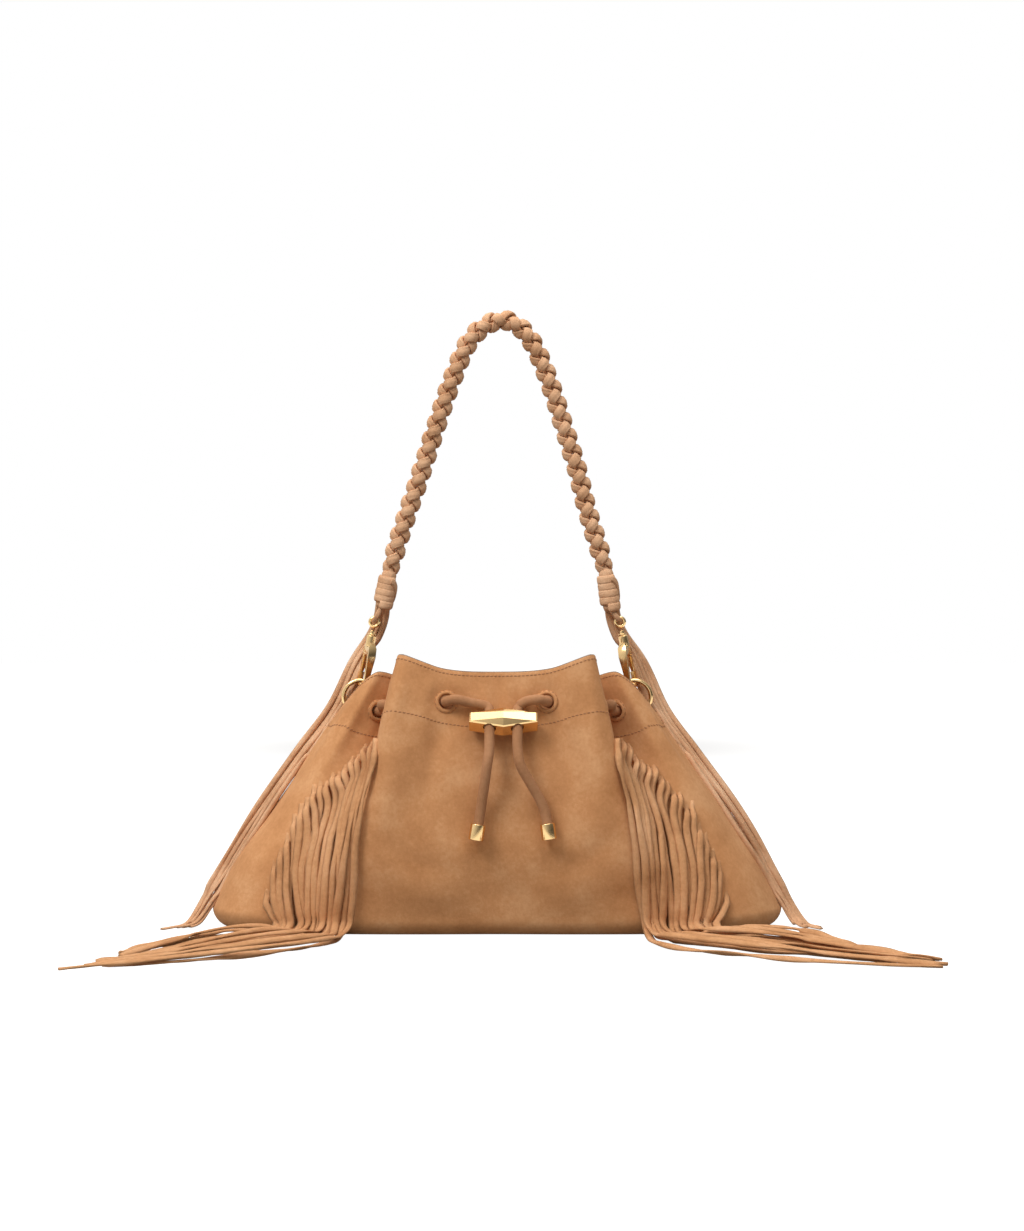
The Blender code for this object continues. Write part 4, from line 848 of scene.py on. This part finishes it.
def makeWrap(side, sign, top):
    foot = np.array((braidSet["foot"][sign][0], 0, braidSet["foot"][sign][1]))
    axis = foot - top
    length = np.linalg.norm(axis)
    axis = axis / length
    first = unit(np.cross(axis, (0, 1.0, 0)))
    second = np.cross(axis, first)
    vertices, faces, uvs = [], [], []

    def lay(path, out, width, thick):
        along = directions(path)
        thickWay = unit(out - (out * along).sum(axis=1)[:, None] * along)
        wide = np.cross(along, thickWay)
        more, strips, table = sweepBar(path, wide, thickWay, bandSection(width, thick, 0.0004, 7), start=len(vertices))
        vertices.extend(more)
        faces.extend(strips)
        uvs.extend(table)

    steps = 150
    u = np.linspace(0, 1, steps)
    angle = 2 * math.pi * wrapSet["laps"] * u + 0.6
    out = np.cos(angle)[:, None] * first + np.sin(angle)[:, None] * second
    bulge = wrapSet["radius"] + wrapSet["rise"] * np.sin(angle * 0.5 + 1) + 0.0002 * u
    reach = 0.0026 + (length - 0.0056) * u + wrapSet["tilt"] * np.sin(angle + 0.8)
    lay(top + reach[:, None] * axis + bulge[:, None] * out, out, wrapSet["width"], wrapSet["thick"])
    u = np.linspace(0, 1, 46)                                   # the crossing lap, drawn through at the foot
    angle = -1.2 + 2.6 * u
    out = np.cos(angle)[:, None] * first - np.sin(angle)[:, None] * second
    reach = 0.0035 + (length - 0.0065) * (0.5 - 0.5 * np.cos(math.pi * u))
    lay(top + reach[:, None] * axis + (wrapSet["radius"] + 0.0009) * out, out, 0.0044, 0.0011)
    core = [top + d * axis for d in (-0.003, 0.002, length * 0.5, length - 0.0022, length - 0.0004)]
    cores = smoothPath(core, 12)
    firsts = np.repeat(first[None, :], 12, axis=0)
    seconds = np.repeat(second[None, :], 12, axis=0)
    sizes = [roundSection(0.0050 * (1 if 0 < k < 11 else 0.85), 20) for k in range(12)]
    more, strips, table = sweepBar(cores, firsts, seconds, sizes, start=len(vertices))
    vertices.extend(more)
    faces.extend(strips)
    uvs.extend(table)
    piece = addMesh(f"whipping{side.title()}", vertices, faces, laceSuede, uvs)
    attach(piece, "handle")
    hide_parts(f"wrap_{side}")
    return foot


# Snap hooks, rings and eyes, from the same sizes as the part

hookSet = {
    "ring": (0.0930, 0.0, 0.1530), "ringRadius": 0.0110, "wire": 0.0015, "lean": math.radians(11), "twist": math.radians(64),
    "barrelTop": 0.0312, "head": 0.0267, "stem": 0.0015, "collar": 0.0028,
    "eyeWire": 0.0012, "eyeHalf": 0.0029, "eyeStraight": 0.0030, "eyeTop": 0.0447,
}


def hookAxes(sign):
    lean, twist = hookSet["lean"], hookSet["twist"]
    up = np.array((-math.sin(lean), 0, math.cos(lean)))
    held = np.array(hookSet["ring"]) + hookSet["ringRadius"] * up
    gate = math.cos(twist) * np.array((math.cos(lean), 0, math.sin(lean))) + math.sin(twist) * np.array((0, 1.0, 0))
    mirror = np.array((sign, 1, 1))
    return held * mirror, up * mirror, gate * mirror


def broadened(mesh, sign):
    # the cast spine is a broad bar above the bow, which is slim where it passes the ring
    held, up, gate = hookAxes(sign)
    cross = np.cross(up, gate)
    for v in mesh.vertices:
        local = np.array(v.co) - held
        g, c, u = local.dot(gate), local.dot(cross), local.dot(up)
        share = float(np.clip((-g - 0.0030) / 0.0012, 0, 1) * np.clip((u - 0.0050) / 0.0050, 0, 1) * np.clip((0.0290 - u) / 0.0030, 0, 1))
        v.co = Vector(held + (g - 0.0007 * share) * gate + c * (1 + 0.75 * share) * cross + u * up)


def softened(node, name, width, body, segments=3, angle=28, smooth=35, sign=0):
    # a copy of the part's own solid with its sharp edges rolled off, as polished castings have
    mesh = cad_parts[node].data.copy()
    piece = bpy.data.objects.new(name, mesh)
    bpy.context.scene.collection.objects.link(piece)
    shape = bmesh.new()
    shape.from_mesh(mesh)
    bmesh.ops.remove_doubles(shape, verts=shape.verts, dist=1e-5)
    bmesh.ops.dissolve_limit(shape, angle_limit=math.radians(4), verts=shape.verts, edges=shape.edges)
    shape.to_mesh(mesh)
    shape.free()
    if sign:
        broadened(mesh, sign)
    pickOnly(piece)
    step = piece.modifiers.new("edges", "BEVEL")
    step.width = width
    step.segments = segments
    step.limit_method = "ANGLE"
    step.angle_limit = math.radians(angle)
    step.harden_normals = False
    step.use_clamp_overlap = True
    applyAll(piece)
    bpy.ops.object.shade_smooth_by_angle(angle=math.radians(smooth))
    mesh.materials.clear()
    mesh.materials.append(goldTone)
    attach(piece, body)
    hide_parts(node)
    return piece


def goldPart(name, body, nodes):
    piece = settle(bpy.context.object, name, goldTone)
    bpy.ops.object.shade_smooth_by_angle(angle=math.radians(40))
    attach(piece, body)
    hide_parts(*nodes)
    return piece


def makeRing(side, sign):
    pickNone()
    bpy.ops.mesh.primitive_torus_add(major_segments=96, minor_segments=24, major_radius=hookSet["ringRadius"],
                                     minor_radius=hookSet["wire"], rotation=(math.pi / 2, 0, 0))
    bpy.context.object.location = Vector(hookSet["ring"]) * Vector((sign, 1, 1))
    return goldPart(f"ring{side.title()}", f"ring_{side}", [f"ring_{side}"])


def makeEye(side, sign):
    # the oval eye: a torus pulled apart at its middle, with its stem and collar
    held, up, _ = hookAxes(sign)
    across = (math.cos(hookSet["lean"]), 0, sign * math.sin(hookSet["lean"]))
    pickNone()
    bpy.ops.mesh.primitive_torus_add(major_segments=64, minor_segments=18, major_radius=hookSet["eyeHalf"],
                                     minor_radius=hookSet["eyeWire"], rotation=(math.pi / 2, 0, 0))
    eye = bpy.context.object
    bpy.ops.object.transform_apply(location=False, rotation=True, scale=False)
    for v in eye.data.vertices:
        v.select = v.co.z > 1e-6
    bpy.ops.object.mode_set(mode="EDIT")
    bpy.ops.transform.translate(value=(0, 0, hookSet["eyeStraight"]))
    bpy.ops.object.mode_set(mode="OBJECT")
    middle = hookSet["eyeTop"] - hookSet["eyeWire"] - hookSet["eyeHalf"] - hookSet["eyeStraight"]
    eye.data.transform(Matrix.Translation((0, 0, middle)))
    parts = [eye]
    for radius, low, high in ((hookSet["stem"], hookSet["head"] - 0.003, middle - hookSet["eyeHalf"]),
                              (hookSet["collar"], hookSet["barrelTop"] + 0.0003, hookSet["barrelTop"] + 0.0015)):
        pickNone()
        bpy.ops.mesh.primitive_cylinder_add(vertices=32, radius=radius, depth=high - low, location=(0, 0, (low + high) / 2))
        rod = bpy.context.object
        step = rod.modifiers.new("edge", "BEVEL")
        step.width, step.segments, step.limit_method = 0.00035, 3, "ANGLE"
        applyAll(rod)
        bpy.ops.object.transform_apply(location=True, rotation=True, scale=True)
        parts.append(rod)
    pickNone()
    for rod in parts:
        rod.select_set(True)
    bpy.context.view_layer.objects.active = eye
    bpy.ops.object.join()
    eye.data.transform(frameAt(held, across, up))
    goldPart(f"swivelEye{side.title()}", "handle", [f"swivel_eye_{side}"])


def makeLoop(side, sign, foot):
    held, up, _ = hookAxes(sign)
    low = held + (hookSet["eyeTop"] - 2 * hookSet["eyeWire"] - 0.0015) * up
    top = foot + np.array((0, 0, 0.0008))
    spread = np.array((0, 0.0034, 0))
    drop = low - top
    route = [top - 0.7 * spread, top - 1.05 * spread + 0.35 * drop, top - 0.85 * spread + 0.75 * drop, low,
             top + 0.85 * spread + 0.75 * drop, top + 1.05 * spread + 0.35 * drop, top + 0.7 * spread]
    path = smoothPath(route, 48)
    along = directions(path)
    across = freeSide(along, (math.cos(hookSet["lean"]), 0, sign * math.sin(hookSet["lean"])))
    more, faces, uvs = sweepBar(path, across, np.cross(along, across), bandSection(0.0036, 0.0019, 0.0002, 7))
    piece = addMesh(f"laceLoop{side.title()}", more, faces, laceSuede, uvs)
    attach(piece, "handle")
    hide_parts(f"loop_{side}")


for side, sign in sides.items():
    foot = makeWrap(side, sign, braidPath[0] if sign < 0 else braidPath[-1])
    makeRing(side, sign)
    makeEye(side, sign)
    makeLoop(side, sign, foot)
    softened(f"hook_{side}", f"snapHook{side.title()}", 0.0008, f"hook_{side}", sign=sign)
    softened(f"gate_{side}", f"hookGate{side.title()}", 0.00045, f"gate_{side}")
    softened(f"gate_pin_{side}", f"hookPin{side.title()}", 0.00015, f"hook_{side}", 2)
softened("cord_slide", "cordSlide", 0.00022, "cord_slide", 2, 8, 7)
print("hardware made")


# Caps on the cord's ends: a drawn cup with a rolled lip

capSet = {"radius": 0.0048, "length": 0.0102, "wall": 0.0008, "lip": 0.0005}


def makeCap(side, end, inward):
    up = Vector(inward - end).normalized()
    pickNone()
    bpy.ops.mesh.primitive_cylinder_add(vertices=56, radius=capSet["radius"], depth=capSet["length"])
    cap = bpy.context.object
    bpy.ops.object.mode_set(mode="EDIT")
    bpy.ops.mesh.select_all(action="DESELECT")
    bpy.ops.object.mode_set(mode="OBJECT")
    for face in cap.data.polygons:
        face.select = face.normal.z > 0.9
    bpy.ops.object.mode_set(mode="EDIT")
    bpy.ops.mesh.select_mode(type="FACE")
    bpy.ops.mesh.inset(thickness=capSet["radius"] - cordSet["radius"] - 0.0002, depth=0)
    bpy.ops.mesh.extrude_region_move(TRANSFORM_OT_translate={"value": (0, 0, -(capSet["length"] - 2 * capSet["wall"]))})
    bpy.ops.object.mode_set(mode="OBJECT")
    step = cap.modifiers.new("lip", "BEVEL")
    step.width, step.segments, step.limit_method = capSet["lip"], 4, "ANGLE"
    applyAll(cap)
    cap.data.transform(frameAt(Vector(end) + (capSet["length"] / 2 - capSet["wall"] - 0.0003) * up, (1, 0, 0), up))
    return goldPart(f"cordCap{side.title()}", "bag", [f"end_cap_{side}"])


caps = [makeCap("right", cordPath[0], cordPath[6]), makeCap("left", cordPath[-1], cordPath[-7])]


# Leather tabs that hold the rings

def makeTab(side):
    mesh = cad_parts[f"ring_tab_{side}"].data.copy()
    piece = bpy.data.objects.new(f"ringTab{side.title()}", mesh)
    bpy.context.scene.collection.objects.link(piece)
    shape = bmesh.new()
    shape.from_mesh(mesh)
    bmesh.ops.remove_doubles(shape, verts=shape.verts, dist=1e-5)
    shape.to_mesh(mesh)
    shape.free()
    pickOnly(piece)
    step = piece.modifiers.new("edge", "BEVEL")
    step.width, step.segments, step.limit_method = 0.0003, 2, "ANGLE"
    applyAll(piece)
    bpy.ops.object.shade_smooth_by_angle(angle=math.radians(50))
    mesh.materials.clear()
    mesh.materials.append(shellSuede)
    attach(piece, "bag")
    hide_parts(f"ring_tab_{side}")


for side in sides:
    makeTab(side)


# Tassels: the loose lace ends, which fall behind the hooks and down the bag's edges

tasselSet = {
    "strands": 8, "width": 0.0038, "thick": 0.0014, "sections": 84,
    "top": [(0.0775, 0.0010, 0.2150), (0.0785, 0.0060, 0.2075), (0.0830, 0.0090, 0.1950), (0.0950, 0.0095, 0.1760)],
    "shares": (0.98, 0.78, 0.56, 0.34, 0.14), "ahead": (0.0070, 0.0020, -0.0040, -0.0080, -0.0095), "out": 0.0022,
    "floor": [(0.2000, -0.0150, 0.0060), (0.2040, -0.0230, 0.0018), (0.2100, -0.0340, 0.0013), (0.2190, -0.0470, 0.0013)],
}


def clearOfWall(point, room):
    # a point moved out to its room over the wall where it would touch it
    hit = skin.find_nearest(Vector(point))
    normal = Vector(hit[1])
    if normal.dot(hit[0] - Vector((0, 0, hit[0].z))) < 0:
        normal.negate()
    far = (Vector(point) - hit[0]).dot(normal)
    if far < room and point[2] > 0.010:
        return np.array(Vector(point) + (room - far) * normal)
    return np.array(point)


def makeTassel(side, sign):
    seam = wallPoints([0], tasselSet["shares"])[:, 0] + tasselSet["out"] * wallNormals([0], tasselSet["shares"])[:, 0]
    down = [(p[0], y, p[2]) for p, y in zip(seam, tasselSet["ahead"])]
    middle = smoothPath(tasselSet["top"] + down + tasselSet["floor"], tasselSet["sections"])
    along = directions(middle)
    local = random.Random(31 if sign > 0 else 47)
    vertices, faces, uvs, lengths = [], [], [], []
    flat = np.array([math.sqrt(max(0.0, 1 - a[2] ** 2)) if p[2] < 0.02 else 0.0 for p, a in zip(middle, along)])
    facing = unit(np.stack([np.zeros(len(flat)), flat - 1, flat], axis=1))
    facing = unit(facing - (facing * along).sum(axis=1)[:, None] * along)
    across = unit(np.cross(facing, along))
    u = np.linspace(0, 1, tasselSet["sections"])
    for i in range(tasselSet["strands"]):
        seed = i + (0 if sign > 0 else 50)
        lane = (i - (tasselSet["strands"] - 1) / 2) / (tasselSet["strands"] - 1)
        drift = np.array([noise.noise(Vector((k * 0.055, seed * 5.1, 3.0))) for k in range(len(u))])
        opened = np.clip(u / 0.10, 0, 1) ** 0.8
        spread = (0.0085 + 0.0040 * np.sin(math.pi * np.clip(u, 0, 0.9)) ** 2) * (0.70 + 0.30 * opened)
        shift = lane * spread + 0.0021 * drift * opened
        forward = (0.0085 * -lane + 0.0016 * ((i * 5) % 3 - 1)) * np.sin(math.pi * np.clip(u * 1.1, 0, 1))
        forward += 0.0016 * np.array([noise.noise(Vector((k * 0.06, seed * 2.3, 9.0))) for k in range(len(u))]) * opened
        path = middle + shift[:, None] * across + forward[:, None] * facing
        path = smoothPath(path[: int(len(u) * local.uniform(0.90, 1.0))], tasselSet["sections"])
        path[6:] = [clearOfWall(p, 0.0012) for p in path[6:]]
        path[1:-1] = (path[:-2] + 2 * path[1:-1] + path[2:]) / 4
        path[:, 2] = np.maximum(path[:, 2], 0.0012)
        run = directions(path)
        face = unit(facing - (facing * run).sum(axis=1)[:, None] * run)
        turns = [Matrix.Rotation(1.3 * noise.noise(Vector((k * 0.045, seed * 7.7, 2))) * (1 if p[2] > 0.02 else 0.3), 3, Vector(r))
                 for k, (p, r) in enumerate(zip(path, run))]
        face = np.array([np.array(t @ Vector(f)) for t, f in zip(turns, face)])
        wide = unit(np.cross(run, face))
        path[:, 2] = np.maximum(path[:, 2], 0.0009 + 0.5 * tasselSet["width"] * np.abs(wide[:, 2]) * (path[:, 2] < 0.01))
        own = tasselSet["width"] * local.uniform(0.85, 1.1)
        more, strips, table = sweepBar(path, wide, face, bandSection(own, tasselSet["thick"], 0.0003), start=len(vertices))
        vertices += more
        faces += strips
        uvs += [(a + 1.3 * i, b) for a, b in table]
        lengths.append(pathLength(path))
    vertices = [v * np.array((sign, 1, 1)) for v in vertices]
    piece = addMesh(f"tassel{side.title()}", vertices, faces, laceSuede, uvs)
    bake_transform(piece)
    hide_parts(f"tassel_{side}")


for side, sign in sides.items():
    makeTassel(side, sign)


# Floor and light

stageSet = {"floorWhite": "#8F8C88", "glow": 0.72, "level": 0.36}


def makeStage():
    pickNone()
    bpy.ops.mesh.primitive_plane_add(size=12.0, location=(0, 2.0, -0.0002))
    floor = bpy.context.object
    made, tree = newMaterial("matPaperFloor")       # matt paper sweep, which keeps the bag's soft shadow
    seen = addNode(tree, "ShaderNodeLightPath")
    both = addNode(tree, "ShaderNodeMath", {0: seen.outputs["Is Camera Ray"], 1: seen.outputs["Is Glossy Ray"]}, operation="MAXIMUM")
    where = addNode(tree, "ShaderNodeTexCoord").outputs["Object"]
    away = addNode(tree, "ShaderNodeVectorMath", {0: where}, operation="LENGTH")
    # beyond 0.26 m the paper fades to pure white, as a lit sweep does
    fade = addNode(tree, "ShaderNodeMapRange", {"Value": away.outputs["Value"], "From Min": 0.26, "From Max": 0.56,
                                                "To Min": stageSet["glow"], "To Max": 1.0})
    glow = addNode(tree, "ShaderNodeMath", {0: both.outputs[0], 1: fade.outputs[0]}, operation="MULTIPLY")
    shader = addNode(tree, "ShaderNodeBsdfPrincipled", {
        "Base Color": linear(stageSet["floorWhite"]), "Roughness": 0.95, "Specular IOR Level": 0.0,
        "Emission Color": (1, 1, 1, 1), "Emission Strength": glow.outputs[0]})
    addNode(tree, "ShaderNodeOutputMaterial", {"Surface": shader.outputs[0]})
    floor.data.materials.append(made)
    floor.name = "paperFloor"
    world = bpy.data.worlds.new("studio")
    bpy.context.scene.world = world
    world.use_nodes = True
    tree = world.node_tree
    tree.nodes.clear()
    seen = addNode(tree, "ShaderNodeLightPath")
    both = addNode(tree, "ShaderNodeMath", {0: seen.outputs["Is Camera Ray"], 1: seen.outputs["Is Transmission Ray"]}, operation="MAXIMUM")
    # the metal sees a studio that is bright to the upper left and dark to the lower right
    lean = addNode(tree, "ShaderNodeVectorMath", {0: addNode(tree, "ShaderNodeTexCoord").outputs["Generated"], 1: (-0.62, 0.30, 0.72)},
                   operation="DOT_PRODUCT")
    studio = addNode(tree, "ShaderNodeMapRange", {"Value": lean.outputs["Value"], "From Min": -0.55, "From Max": 0.75, "To Min": 0.10, "To Max": 1.0})
    room = addNode(tree, "ShaderNodeMix", {0: seen.outputs["Is Glossy Ray"], 2: stageSet["level"], 3: studio.outputs[0]}, data_type="FLOAT")
    strength = addNode(tree, "ShaderNodeMix", {0: both.outputs[0], 2: room.outputs[0], 3: 1.0}, data_type="FLOAT")
    back = addNode(tree, "ShaderNodeBackground", {"Color": (1, 1, 1, 1), "Strength": strength.outputs[0]})
    addNode(tree, "ShaderNodeOutputWorld", {"Surface": back.outputs[0]})


def addLamp(name, at, aim, size, power, tall=None):
    lamp = bpy.data.lights.new(name, "AREA")
    lamp.shape = "RECTANGLE"
    lamp.size, lamp.size_y = size, tall or size
    lamp.energy = power
    thing = bpy.data.objects.new(name, lamp)
    thing.location = at
    thing.rotation_euler = (Vector(aim) - Vector(at)).to_track_quat("-Z", "Y").to_euler()
    bpy.context.scene.collection.objects.link(thing)


makeStage()
addLamp("keySoftbox", (-1.2, -1.3, 1.9), (0, 0, 0.12), 0.9, 33.0)
addLamp("fillSoftbox", (0.3, -1.3, 2.1), (0, 0, 0.12), 1.2, 14.5)
addLamp("topSoftbox", (0.0, 0.1, 1.9), (0, 0, 0.1), 1.4, 15.0)
print("stage made")

bpy.context.scene.view_settings.view_transform = "Standard"
